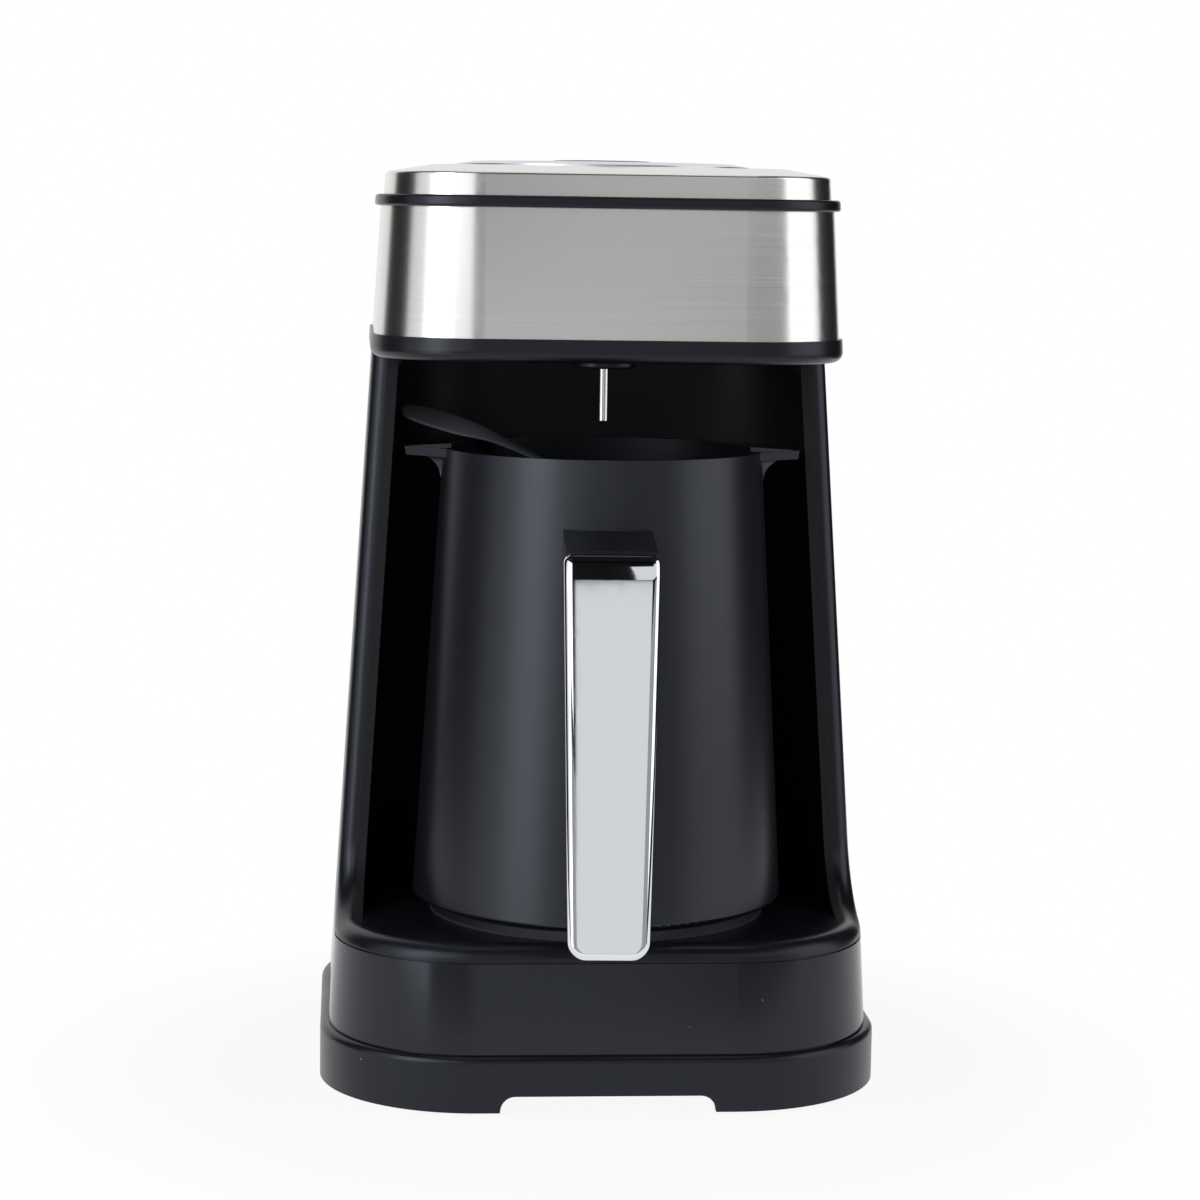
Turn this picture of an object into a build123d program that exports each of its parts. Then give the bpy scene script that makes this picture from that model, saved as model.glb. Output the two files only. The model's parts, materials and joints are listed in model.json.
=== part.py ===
from build123d import *
import math
import os

# A coffee machine with a removable pot. Millimetres; X to the right, Y to the back, Z up from the table.
# The origin is under the middle of the whole outline, the pot's handle included.

# Plan of the body
plinth_width = 165.0
plinth_depth = 152.0
plinth_corner = 45.5
body_ledge = 2.5
body_slope_share = 0.06

# Heights of the outside pieces, from the table up
foot_proud = 1.2
plinth_height = 16.3
band_height = 26.1
deck_height = 5.4
nook_headroom = 27.0
bezel_height = 6.7
steel_height = 36.8
trim_height = 3.3
lid_height = 6.5
lid_rise = 2.2
disc_height = 1.7
button_proud = 0.3

# Clearances, and how far a cut runs past the face that it opens
fit_gap = 0.3
thread_gap = 0.1
seat_gap = 0.2
overrun = 2.0

# Walls
body_wall = 2.5
band_wall = 2.4
sheet_steel = 0.8
lip_wall = 1.6
lip_depth = 3.0
seam_gap = 0.6

# Plinth: a skirt with a floor inside it, and a flange that carries the base band
skirt_wall = 3.0
plinth_round = 2.2
floor_rise = 6.4
floor_thickness = 2.5
flange_width = 9.0
flange_thickness = 3.0
notch_width = 62.0
notch_top_width = 60.5
notch_height = 4.8
notch_corner = 4.3

# Rubber feet
foot_radius = 8.0
foot_height = 3.2
foot_stem_radius = 3.0
foot_stem_height = 3.0
foot_boss_wall = 2.0
foot_spread_x = 52.0
foot_spread_y = 45.0

# Deck, cheeks and nook
cheek_width = 8.0
cheek_setback_foot = 56.0
cheek_setback_top = 70.0
cheek_sweep = 22.0
cheek_round = 4.8
nook_setback = 118.0
nook_lean = 6.0
nook_corner = 40.0
nook_arch = 6.0
cover_depth = 41.0
vent_count = 5
vent_width = 34.0
vent_height = 2.4
vent_pitch = 6.0
vent_rise = 14.0

# Screws
screw_head_radius = 3.6
screw_head_height = 2.2
screw_shank_radius = 1.9
screw_length = 14.0
screw_boss_radius = 4.5
base_post_x_front = 34.0
base_post_setback_front = 17.0
base_post_x_rear = 56.0
base_post_setback_rear = 103.0
cover_screw_x = 26.0
cover_screw_rise = 32.0
cover_screw_drop = 25.0
head_screw_inset = 37.5
head_screw_sink = 1.3
head_screw_spread_y = 46.0
small_head_radius = 2.4
small_head_height = 1.6
small_shank_radius = 1.3
small_screw_length = 8.0
board_post_radius = 3.2

# Head
bezel_proud = 0.9
bezel_round = 3.0
bezel_wall = 3.0
bezel_floor = 2.6
frame_wall = 2.0
frame_web_width = 18.0
frame_web_thickness = 2.0
trim_proud = 1.8
trim_width = 9.0
lid_inset = 0.8
lid_sheet = 1.0
lid_round = 0.9
lid_slope_width = 13.0
liner_inset = 5.0
liner_thickness = 2.0
liner_wall = 2.0
cable_slot_width = 14.0
cable_slot_depth = 14.0

# Control disc and start button
disc_radius = 44.0
disc_top_radius = 39.0
disc_edge = 0.5
disc_crown = 0.3
hub_wall = 1.9
hub_shoulder = 2.0
hub_depth = 8.8
shoulder_depth = 4.7
button_radius = 15.3
button_travel = 1.5
button_flange = 1.8
button_dish = 0.5
button_stem_radius = 3.0
button_stem_length = 7.9
lens_radius = 9.5
lens_thickness = 1.2
dome_radius = 9.0
dome_top_radius = 6.0
dome_wall = 1.0

# Control board under the lid
control_board_width = 76.0
control_board_depth = 64.0
board_thickness = 1.6
control_post_x = 32.0
control_post_y = 26.0
switch_size = 6.2
switch_height = 3.5
switch_pin_radius = 1.75
switch_pin_height = 0.8
led_size = 3.0
led_height = 1.2
led_offset = 13.0
buzzer_radius = 6.0
buzzer_height = 7.0
buzzer_x = -24.0
connector_width = 16.0
connector_depth = 9.0
connector_height = 7.0

# Sensor pod and foam probe
pod_radius = 9.4
pod_height = 3.2
pod_hole_radius = 0.8
pod_hole_count = 8
pod_hole_ring = 6.6
probe_radius = 1.4
probe_tip_gap = 7.5
probe_length = 38.0
seal_wall = 1.8
seal_head_radius = 5.0
seal_head_height = 2.0
lead_radius = 1.2

# Hot plate and what heats it
plate_inset = 5.2
plate_thickness = 2.8
plate_edge = 0.8
plate_rim = 6.0
plate_boss_depth = 4.2
gasket_thickness = 0.8
element_inset = 13.0
element_width = 10.0
element_height = 6.0
pin_radius = 1.6
pin_length = 10.0
pin_x = 9.0
clamp_inset = 5.0
clamp_thickness = 1.2
stud_radius = 3.0
nut_flat = 10.0
nut_height = 4.5
stud_tail = 1.5
thermostat_radius = 7.5
thermostat_height = 8.0
thermostat_x = 22.0
fuse_width = 6.0
fuse_length = 18.0
fuse_height = 4.5
fuse_x = -22.0

# Power board in the base
power_board_width = 88.0
power_board_depth = 62.0
power_board_setback = 88.0
power_post_x = 38.0
power_post_y = 25.0
power_post_height = 6.0
transformer_size = (26.0, 22.0, 11.0)
transformer_place = (-27.0, -9.0)
relay_size = (20.0, 15.0, 10.0)
relay_place = (25.0, -12.0)
capacitor_radius = 5.0
capacitor_height = 11.0
capacitor_place = (30.0, 8.0)
terminal_size = (40.0, 10.0, 10.0)
terminal_y = 18.0

# Wiring harness up the column, its clips, and the cord gland
harness_radius = 3.0
harness_x = 12.0
harness_setback = 127.0
harness_low_rise = 9.4
harness_bend = 7.0
clip_width = 10.0
clip_height = 7.0
clip_wall = 2.0
clip_rises = (55.0, 115.0)
gland_radius = 6.0
gland_bore_radius = 3.5
gland_flange_radius = 8.5
gland_flange = 1.6
gland_outset = 3.0
gland_rise = 13.0

# Pot
pot_setback = 57.7
pot_height = 134.2
pot_side_room = 27.3
pot_taper = 8.0
pot_wall = 1.2
pot_floor = 1.6
pot_foot_round = 1.0
pot_inner_round = 4.0
pot_base_inset = 7.2
pot_base_height = 1.0
pot_base_round = 0.4
pot_turn = -2.3
spout_length = 11.3
spout_root = 6.0
spout_half_width = 15.0
spout_tip = 2.2
spout_wall = 1.3
spout_lip = 2.5
spout_lip_draw = 0.95
spout_web_depth = 8.8
spout_web_depth_shares = (0.28, 0.55, 1.0)
spout_web_reach_shares = (0.5, 0.18, 0.02)
spout_web_width_shares = (0.62, 0.42, 0.2)

# Handle
handle_standoff = 85.7
handle_top_height = 112.2
handle_length = 110.5
handle_lean = 7.3
handle_top_width = 26.8
handle_foot_width = 22.4
handle_top_corner = 2.4
handle_foot_corner = 5.0
handle_cover_depth = 5.0
handle_cover_wall = 1.8
handle_cover_edge = 1.3
grip_depth = 6.0
grip_inset = 0.8
grip_round = 2.2
arm_rise = 2.5
arm_depth = 20.0
arm_drop = 24.0
arm_round = 1.2
mount_width = 16.0
mount_height = 13.0
mount_thickness = 4.0
mount_drop = 8.5
handle_screw_pitch = 7.0
handle_screw_radius = 1.7
handle_screw_head = 3.0
handle_screw_head_height = 2.0

# Measuring spoon, lying in the pot across its back
spoon_inset = 20.2
spoon_width = 8.0
spoon_thickness = 2.2
spoon_overhang = 11.3
spoon_tip_rise = 6.5
spoon_rest_inset = 5.2
spoon_slope_share = 0.46
spoon_tip_round = 3.4
bowl_radius = 10.5
bowl_wall = 1.2
bowl_inset = 25.2

# Levels and places worked out from the sizes above
nook_height = gasket_thickness + plate_thickness + seat_gap + pot_height + nook_headroom
z_plinth = foot_proud + plinth_height
z_band = z_plinth + band_height
z_deck = z_band + deck_height
z_nook = z_deck + nook_height
z_steel = z_nook + bezel_height
z_trim = z_steel + steel_height
z_lid = z_trim + trim_height
z_lid_edge = z_lid + lid_height
z_disc = z_lid_edge + lid_rise
z_disc_top = z_disc + disc_height
z_button = z_disc_top + button_proud
z_floor = foot_proud + floor_rise
z_floor_top = z_floor + floor_thickness
z_plate_low = z_deck + gasket_thickness
z_plate = z_plate_low + plate_thickness
z_boss = z_plate_low - plate_boss_depth
z_element = z_boss - element_height
z_clamp = z_element - clamp_thickness
z_nut = z_clamp - nut_height
z_pot = z_plate + seat_gap
z_power_board = z_floor_top + power_post_height
z_power_top = z_power_board + board_thickness
z_shoulder = z_disc_top - shoulder_depth
z_flange = z_shoulder - fit_gap - button_flange
z_stem = z_flange - button_stem_length
z_switch = z_stem - button_travel - fit_gap
z_control_top = z_switch - switch_pin_height - switch_height
z_control = z_control_top - board_thickness
z_liner = z_lid_edge - lid_sheet - liner_thickness

head_screw_x = plinth_width / 2 - head_screw_inset
gland_x = plinth_width / 2 - plinth_corner + gland_outset
pot_foot_radius = plinth_width / 2 - pot_side_room
pot_rim_radius = pot_foot_radius - pot_taper
pot_base_radius = pot_foot_radius - pot_base_inset
plate_radius = pot_foot_radius - plate_inset
plate_boss_radius = plate_radius - plate_rim
element_radius = plate_boss_radius - element_inset
clamp_radius = plate_boss_radius - clamp_inset
spoon_offset = pot_rim_radius - spoon_inset
spoon_tip_x = -pot_rim_radius - spoon_overhang
spoon_rest_x = spoon_rest_inset - math.sqrt(pot_rim_radius ** 2 - spoon_offset ** 2)
bowl_x = pot_rim_radius - bowl_inset
handle_reach = handle_standoff + handle_length * math.sin(math.radians(handle_lean)) - pot_setback
y_front = (handle_reach - plinth_depth) / 2
y_middle = y_front + plinth_depth / 2
y_back = y_front + plinth_depth
y_pot = y_front + pot_setback
y_cover = y_back - cover_depth
y_power = y_front + power_board_setback
y_harness = y_front + harness_setback
cheek_lean = math.atan((cheek_setback_top - cheek_setback_foot) / nook_height)
sweep_z = z_deck + cheek_sweep
sweep_y = y_front + cheek_setback_foot + cheek_sweep * (math.tan(cheek_lean) - 1 / math.cos(cheek_lean))
hub_bore = button_radius + fit_gap
hub_inner = hub_bore + hub_shoulder
hub_outer = hub_inner + hub_wall
pot_place = Pos(0, y_pot, z_pot) * Rot(0, 0, pot_turn)
z_rim = z_pot + pot_height
y_pin = y_pot + math.sqrt(element_radius ** 2 - pin_x ** 2)

UP = (Align.CENTER, Align.CENTER, Align.MIN)


def polygon(points):
    return make_face(Polyline(*points, close=True))


def turned(points):
    """A solid of revolution about Z from (radius, height) points."""
    return revolve(Plane.XZ * polygon(points), Axis.Z)


def rod(x, y, z_low, z_high, radius):
    return Pos(x, y, z_low) * Cylinder(radius, z_high - z_low, align=UP)


def rod_along_y(x, y_low, y_high, z, radius):
    return Pos(x, y_low, z) * Rot(-90, 0, 0) * Cylinder(radius, y_high - y_low, align=UP)


def bar(x, y, z_low, z_high, width, depth):
    return Pos(x, y, z_low) * Box(width, depth, z_high - z_low, align=UP)


def group(solids):
    return Compound(children=list(solids))


def corners(x, y_values):
    return [(side * x, y) for y in y_values for side in (-1, 1)]


def plinth_block(z_low, z_high, inset=0):
    """The plinth's upright outline, drawn in by inset."""
    plan = RectangleRounded(plinth_width - 2 * inset, plinth_depth - 2 * inset, plinth_corner - inset)
    return extrude(Pos(0, y_middle, z_low) * plan, z_high - z_low)


def body_inset(z):
    return body_ledge + body_slope_share * (z - z_plinth)


def body_plan(z, inset=0):
    drawn_in = body_inset(z) + inset
    plan = RectangleRounded(plinth_width - 2 * drawn_in, plinth_depth - 2 * drawn_in, plinth_corner - drawn_in)
    return Pos(0, y_middle, z) * plan


def body_block(z_low, z_high, inset=0):
    """A slice of the tapered body, drawn in by inset."""
    return loft([body_plan(z_low, inset), body_plan(z_high, inset)], ruled=True)


def body_ring(z_low, z_high, inset, wall):
    """A slice of the tapered body's wall; the bore is cut past both ends."""
    bore = body_block(z_low - overrun, z_high + overrun, inset + wall)
    return body_block(z_low, z_high, inset) - bore


def behind(y, z_low, z_high):
    room = plinth_width + plinth_depth
    return Pos(0, y, z_low) * Box(room, room, z_high - z_low, align=(Align.CENTER, Align.MIN, Align.MIN))


def nook_share(z):
    return (z - z_deck) / nook_height


def nook_back(z):
    return y_front + nook_setback - nook_lean * nook_share(z)


def sweep_point(angle, grow=0):
    """A point of the sweep, where the cheeks' front edges run out into the deck."""
    radius = cheek_sweep + grow
    return (sweep_y + radius * math.cos(angle), sweep_z + radius * math.sin(angle))


def cheek_front(z, grow=0):
    y_low, z_low = sweep_point(-cheek_lean, grow)
    return y_low + math.tan(cheek_lean) * (z - z_low)


def front_cut(grow=0):
    """All that is open in front of the cheeks and above the deck, grown by a wall for the hollow inside."""
    z_roof = z_nook + overrun
    y_far = y_front - overrun
    start = sweep_point(-cheek_lean, grow)
    finish = sweep_point(-math.pi / 2, grow)
    sweep_arc = ThreePointArc(start, sweep_point(-(math.pi / 2 + cheek_lean) / 2, grow), finish)
    rest = Polyline(finish, (y_far, finish[1]), (y_far, z_roof), (cheek_front(z_roof, grow), z_roof), start)
    return extrude(Plane.YZ * make_face([sweep_arc, rest]), plinth_width, both=True)


def nook_plan(z, grow=0):
    """The nook between the cheeks at one height, running forward past them."""
    half = plinth_width / 2 - body_inset(z) - cheek_width + grow
    back = nook_back(z) + grow
    corner = nook_corner - body_slope_share * (z - z_deck) + grow
    y_mouth = y_front + pot_setback - pot_foot_radius / 2
    face = polygon([(-half, y_mouth), (half, y_mouth), (half, back), (-half, back)])
    return Pos(0, 0, z) * fillet(face.vertices().sort_by(Axis.Y)[-2:], corner)


def nook(grow=0):
    return loft([nook_plan(z_deck - grow, grow), nook_plan(z_nook + overrun, grow)], ruled=True)


def standing(face, y, depth):
    """A face drawn in X and Z, made into a solid that runs depth to the back from y."""
    return extrude(Pos(0, y + depth / 2, 0) * (Plane.XZ * face), depth / 2, both=True)


def across(face, width):
    """A face drawn in Y and Z, made into a solid of that width about the middle."""
    return extrude(Plane.YZ * face, width / 2, both=True)


def arch(side):
    """The rounded corner where a cheek meets the roof of the nook."""
    inner = plinth_width / 2 - body_inset(z_nook) - cheek_width
    z_low = z_nook - nook_arch
    x_low = inner + body_slope_share * nook_arch
    bend = 1 - math.sqrt(0.5)
    curve = ThreePointArc((side * x_low, z_low), (side * (inner - nook_arch * bend), z_nook - nook_arch * bend),
                          (side * (inner - nook_arch), z_nook))
    wall = body_wall / 2
    rest = Polyline((side * (inner - nook_arch), z_nook), (side * (inner + wall), z_nook),
                    (side * (x_low + wall), z_low), (side * x_low, z_low))
    y_low = cheek_front(z_nook) + cheek_round
    y_high = nook_back(z_nook) - nook_corner / 2
    return standing(make_face([curve, rest]), y_low, y_high - y_low)


def base_posts():
    front = corners(base_post_x_front, [y_front + base_post_setback_front])
    rear = corners(base_post_x_rear, [y_front + base_post_setback_rear])
    return front + rear


def foot_places():
    return corners(foot_spread_x, [y_middle - foot_spread_y, y_middle + foot_spread_y])


def power_posts():
    return corners(power_post_x, [y_power - power_post_y, y_power + power_post_y])


def control_posts():
    return corners(control_post_x, [y_middle - control_post_y, y_middle + control_post_y])


def head_posts():
    return corners(head_screw_x, [y_middle - head_screw_spread_y, y_middle + head_screw_spread_y])


def cover_screws_at():
    heights = (z_deck + cover_screw_rise, z_nook - cover_screw_drop)
    return [(side * cover_screw_x, z) for z in heights for side in (-1, 1)]


def cover_face(z):
    return y_back - body_inset(z)


def screw_up(x, y, z_seat, head_radius, head_height, shank_radius, length):
    """A screw driven upwards, its head under z_seat."""
    head = rod(x, y, z_seat - head_height, z_seat, head_radius)
    return head + rod(x, y, z_seat, z_seat + length, shank_radius)


def make_plinth():
    outer = plinth_block(foot_proud, z_plinth)
    outer = fillet(outer.faces().sort_by(Axis.Z)[-1].edges(), plinth_round)
    shell = outer - plinth_block(foot_proud - overrun, z_floor, skirt_wall)
    shell -= plinth_block(z_floor_top, z_plinth - flange_thickness, skirt_wall)
    shell -= plinth_block(z_floor_top, z_plinth + overrun, flange_width)
    z_notch = foot_proud + notch_height
    notch = polygon([(-notch_width / 2, foot_proud), (notch_width / 2, foot_proud),
                     (notch_top_width / 2, z_notch), (-notch_top_width / 2, z_notch)])
    notch = fillet(notch.vertices().sort_by(Axis.Y)[-2:], notch_corner)
    shell -= standing(notch, y_front - overrun, skirt_wall + 2 * overrun)
    stem_hole = foot_stem_radius + thread_gap
    for x, y in foot_places():
        boss = rod(x, y, foot_height, z_floor, foot_radius + foot_boss_wall)
        shell += boss
        shell -= rod(x, y, foot_height, foot_height + foot_stem_height + fit_gap, stem_hole)
    for x, y in power_posts():
        shell += rod(x, y, z_floor_top, z_power_board, board_post_radius)
        shell -= rod(x, y, z_floor_top, z_power_board, small_shank_radius + thread_gap)
    for x, y in base_posts():
        shell -= rod(x, y, z_floor, z_floor_top, screw_shank_radius + fit_gap)
    return shell


def make_feet():
    feet = []
    for x, y in foot_places():
        pad = rod(x, y, 0, foot_height, foot_radius)
        feet.append(pad + rod(x, y, foot_height, foot_height + foot_stem_height, foot_stem_radius))
    return group(feet)


def make_base_band():
    wall = body_ring(z_plinth, z_band, 0, band_wall)
    lip_inset = flange_width - body_ledge + fit_gap
    flange = body_ring(z_plinth, z_plinth + band_wall, 0, lip_inset + lip_wall)
    lip = body_ring(z_plinth - lip_depth, z_plinth, lip_inset, lip_wall)
    z_gland = z_plinth + gland_rise
    hole = rod_along_y(gland_x, y_middle, y_back + overrun, z_gland, gland_radius + thread_gap)
    return wall + flange + lip - hole


def make_cord_gland():
    z_gland = z_plinth + gland_rise
    y_face = cover_face(z_gland + gland_flange_radius) - body_slope_share * gland_radius
    plug = rod_along_y(gland_x, y_face - 2 * band_wall, y_face + gland_flange, z_gland, gland_radius)
    y_in = y_face - 2 * band_wall
    inner_flange = rod_along_y(gland_x, y_in - gland_flange, y_in, z_gland, gland_flange_radius)
    bore = rod_along_y(gland_x, y_middle, y_back + overrun, z_gland, gland_bore_radius)
    return plug + inner_flange - bore


def rear_wall(y_edge):
    wall = body_block(z_deck, z_nook) - body_block(z_deck - overrun, z_nook + overrun, body_wall)
    return wall & behind(y_edge, z_deck, z_nook)


def nook_zone():
    """The nook with its walls, from the deck up."""
    return loft([nook_plan(z_deck, body_wall), nook_plan(z_nook + overrun, body_wall)], ruled=True)


def body_walls():
    """The walls of the cheeks, deck and nook before the body is parted into its two mouldings."""
    walls = body_block(z_band, z_nook) - front_cut()
    deck_edges = walls.edges().filter_by(Axis.X).filter_by_position(Axis.Z, z_deck - seat_gap, z_deck + seat_gap)
    walls = fillet(deck_edges.sort_by(Axis.Y)[:1], cheek_round)
    walls -= nook()
    hollow = body_block(z_band - overrun, z_nook + overrun, body_wall)
    walls -= hollow - front_cut(body_wall) - nook(body_wall)
    return walls - rear_wall(y_cover - fit_gap)


def side_walls():
    """The cheeks' outer walls and the deck with its rim, before they are parted at the deck."""
    return body_walls() - nook_zone()


def make_cheek(side):
    room = plinth_width + plinth_depth
    half = Box(room, room, room, align=(Align.MIN if side > 0 else Align.MAX, Align.CENTER, Align.MIN))
    return side_walls() & Pos(0, 0, z_deck) * half


def make_left_cheek():
    return make_cheek(-1)


def make_right_cheek():
    return make_cheek(1)


def make_body_shell():
    room = plinth_width + plinth_depth
    shell = side_walls() - Pos(0, 0, z_deck) * Box(room, room, room, align=UP)
    lip_inset = band_wall + fit_gap
    shell += body_ring(z_band - lip_depth, z_deck - body_wall, lip_inset, lip_wall)
    shell += body_ring(z_band, z_deck - body_wall, body_wall / 2, lip_inset)
    shell -= body_ring(z_band - overrun, z_band + seam_gap, -overrun, overrun + seam_gap)
    shell -= rod(0, y_pot, z_band - lip_depth, z_deck + overrun, plate_boss_radius + fit_gap)
    for x, y in base_posts():
        shell += rod(x, y, z_floor_top, z_deck - body_wall / 2, screw_boss_radius)
        shell -= rod(x, y, z_floor_top, z_floor_top + screw_length, screw_shank_radius + thread_gap)
    return shell


def make_nook_liner():
    liner = body_walls() & nook_zone()
    for side in (-1, 1):
        liner += arch(side)
    for x, z in cover_screws_at():
        y_boss = nook_back(z) + body_wall / 2
        y_end = cover_face(z) - body_wall - fit_gap - body_slope_share * screw_boss_radius
        liner += rod_along_y(x, y_boss, y_end, z, screw_boss_radius)
        liner -= rod_along_y(x, y_end - screw_length, y_end, z, screw_shank_radius + thread_gap)
    return liner


def cover_seat(z):
    """Where a rear screw's head lies, sunk in the cover."""
    return cover_face(z) - screw_head_height / 2 - body_slope_share * screw_head_radius


def make_rear_cover():
    cover = rear_wall(y_cover)
    lip = body_ring(z_deck, z_nook, body_wall, lip_wall) & behind(y_cover, z_deck, z_nook)
    lip -= behind(y_cover + lip_depth, z_deck - overrun, z_nook + overrun)
    tongue = body_ring(z_deck, z_nook, body_wall + fit_gap, lip_wall - fit_gap)
    tongue = tongue & behind(y_cover - lip_depth, z_deck, z_nook)
    tongue -= behind(y_cover + lip_depth, z_deck - overrun, z_nook + overrun)
    cover = cover + lip + tongue
    for x, z in cover_screws_at():
        seat = cover_seat(z)
        cover -= rod_along_y(x, seat, y_back + overrun, z, screw_head_radius + fit_gap)
        cover -= rod_along_y(x, y_middle, y_back, z, screw_shank_radius + fit_gap)
    for i in range(vent_count):
        z = z_deck + vent_rise + i * vent_pitch
        cover -= bar(0, cover_face(z), z, z + vent_height, vent_width, 2 * body_wall + 2 * overrun)
    return cover


def make_cover_screws():
    screws = []
    for x, z in cover_screws_at():
        seat = cover_seat(z)
        shank = rod_along_y(x, seat - screw_length, seat, z, screw_shank_radius)
        screws.append(shank + rod_along_y(x, seat, seat + screw_head_height / 2, z, screw_head_radius))
    return group(screws)


def make_plinth_screws():
    return group(screw_up(x, y, z_floor, screw_head_radius, screw_head_height, screw_shank_radius,
                          floor_thickness + screw_length - fit_gap) for x, y in base_posts())


def make_head_bezel():
    outer = body_block(z_nook, z_steel, -bezel_proud)
    outer = fillet(outer.faces().sort_by(Axis.Z)[0].edges(), bezel_round)
    z_inside = z_nook + bezel_floor
    tray = outer - body_block(z_inside, z_steel + overrun, bezel_wall - bezel_proud)
    tray -= rod(0, y_pot, z_nook - overrun, z_inside + overrun, probe_radius + seal_wall + thread_gap)
    tray -= bar(harness_x, y_harness, z_nook - overrun, z_inside + overrun, cable_slot_width, cable_slot_depth)
    for x, y in head_posts():
        tray -= rod(x, y, z_nook - overrun, z_inside + overrun, screw_shank_radius + fit_gap)
        tray -= rod(x, y, z_nook - overrun, z_nook + head_screw_sink, screw_head_radius + fit_gap)
    return tray


def make_head_band():
    return body_ring(z_steel, z_trim, 0, sheet_steel)


def make_head_frame():
    inset = sheet_steel + fit_gap
    frame = body_ring(z_steel, z_trim, inset, frame_wall)
    frame += body_ring(z_steel, z_steel + frame_web_thickness, inset, frame_web_width)
    frame -= bar(harness_x, y_harness, z_steel - overrun, z_steel + overrun + frame_web_thickness, cable_slot_width,
                 cable_slot_depth)
    z_inside = z_nook + bezel_floor
    for x, y in head_posts():
        frame += rod(x, y, z_inside, z_steel + screw_length, screw_boss_radius)
        frame -= rod(x, y, z_inside, z_inside + screw_length, screw_shank_radius + thread_gap)
    return frame


def make_head_screws():
    z_seat = z_nook + head_screw_sink
    shank = bezel_floor + screw_length - fit_gap - head_screw_sink
    return group(screw_up(x, y, z_seat, screw_head_radius, screw_head_height / 2, screw_shank_radius, shank)
                 for x, y in head_posts())


def make_trim_ring():
    ring = body_block(z_trim, z_lid, -trim_proud)
    ring = fillet(ring.faces().sort_by(Axis.Z)[-1].edges() + ring.faces().sort_by(Axis.Z)[0].edges(), trim_height / 4)
    ring -= body_block(z_trim - overrun, z_lid + overrun, trim_width)
    rib_inset = sheet_steel + fit_gap + frame_wall + fit_gap
    return ring + body_ring(z_trim - lip_depth, z_trim, rib_inset, lip_wall)


def lid_block(z_low, z_edge, inset):
    """The lid's upright side and, above its edge, the slope up to the flat that carries the control disc."""
    slope = loft([body_plan(z_edge, inset), body_plan(z_edge + lid_rise, inset + lid_slope_width)], ruled=True)
    return body_block(z_low, z_edge, inset) + slope


def make_lid():
    outer = lid_block(z_lid, z_lid_edge, lid_inset)
    rim = outer.edges().filter_by_position(Axis.Z, z_lid_edge - thread_gap, z_lid_edge + thread_gap)
    outer = fillet(rim, lid_round)
    inner = lid_block(z_lid - overrun, z_lid_edge - lid_sheet, lid_inset + lid_sheet)
    return outer - inner - rod(0, y_middle, z_lid, z_disc + overrun, hub_outer + fit_gap)


def make_lid_liner():
    z_top = z_liner + liner_thickness
    liner = body_block(z_liner, z_top, liner_inset)
    liner += body_ring(z_lid, z_liner, liner_inset, liner_wall)
    liner += body_ring(z_top, z_disc - lid_sheet, lid_inset + lid_sheet + lid_slope_width, liner_wall)
    liner -= rod(0, y_middle, z_liner - overrun, z_disc, hub_outer + fit_gap)
    for x, y in control_posts():
        liner += rod(x, y, z_control_top, z_liner + liner_thickness / 2, board_post_radius)
        liner -= rod(x, y, z_control_top, z_control_top + small_screw_length, small_shank_radius + thread_gap)
    return liner


def make_control_disc():
    z_hub = z_disc - hub_depth
    z_edge = z_disc + disc_edge
    profile = [(hub_bore, z_disc_top), (disc_top_radius, z_disc_top - disc_crown), (disc_radius, z_edge),
               (disc_radius, z_disc), (hub_outer, z_disc), (hub_outer, z_hub), (hub_inner, z_hub),
               (hub_inner, z_shoulder), (hub_bore, z_shoulder)]
    return Pos(0, y_middle, 0) * turned(profile)


def make_start_button():
    flange_radius = hub_inner - fit_gap
    z_recess = z_button - button_dish - lens_thickness
    profile = [(0, z_stem), (button_stem_radius, z_stem), (button_stem_radius, z_flange), (flange_radius, z_flange),
               (flange_radius, z_flange + button_flange), (button_radius, z_flange + button_flange),
               (button_radius, z_button - button_dish), (button_radius - button_dish, z_button),
               (lens_radius + thread_gap + button_dish, z_button),
               (lens_radius + thread_gap, z_button - button_dish),
               (lens_radius + thread_gap, z_recess), (0, z_recess)]
    return Pos(0, y_middle, 0) * turned(profile)


def make_button_lens():
    z_recess = z_button - button_dish - lens_thickness
    return rod(0, y_middle, z_recess, z_recess + lens_thickness, lens_radius)


def make_button_dome():
    profile = [(dome_radius - dome_wall, z_control_top), (dome_radius, z_control_top),
               (dome_top_radius, z_flange), (dome_top_radius - dome_wall, z_flange)]
    return Pos(0, y_middle, 0) * turned(profile)


def make_control_board():
    board = bar(0, y_middle, z_control, z_control_top, control_board_width, control_board_depth)
    for x, y in control_posts():
        board -= rod(x, y, z_control, z_control_top, small_shank_radius + fit_gap)
    return board


def make_control_board_screws():
    return group(screw_up(x, y, z_control, small_head_radius, small_head_height, small_shank_radius,
                          board_thickness + small_screw_length - fit_gap) for x, y in control_posts())


def make_button_switch():
    z_case = z_control_top + switch_height
    case = bar(0, y_middle, z_control_top, z_case, switch_size, switch_size)
    return case + rod(0, y_middle, z_case, z_case + switch_pin_height, switch_pin_radius)


def make_indicator_leds():
    return group(bar(side * led_offset, y_middle, z_control_top, z_control_top + led_height, led_size, led_size)
                 for side in (-1, 1))


def make_buzzer():
    can = rod(buzzer_x, y_middle, z_control - buzzer_height, z_control, buzzer_radius)
    hole = rod(buzzer_x, y_middle, z_control - buzzer_height, z_control - buzzer_height / 2, buzzer_radius / 4)
    return can - hole


def connector_back():
    return y_middle + control_board_depth / 2


def make_board_connector():
    y = connector_back() - connector_depth / 2
    return bar(harness_x, y, z_control - connector_height, z_control, connector_width, connector_depth)


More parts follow.
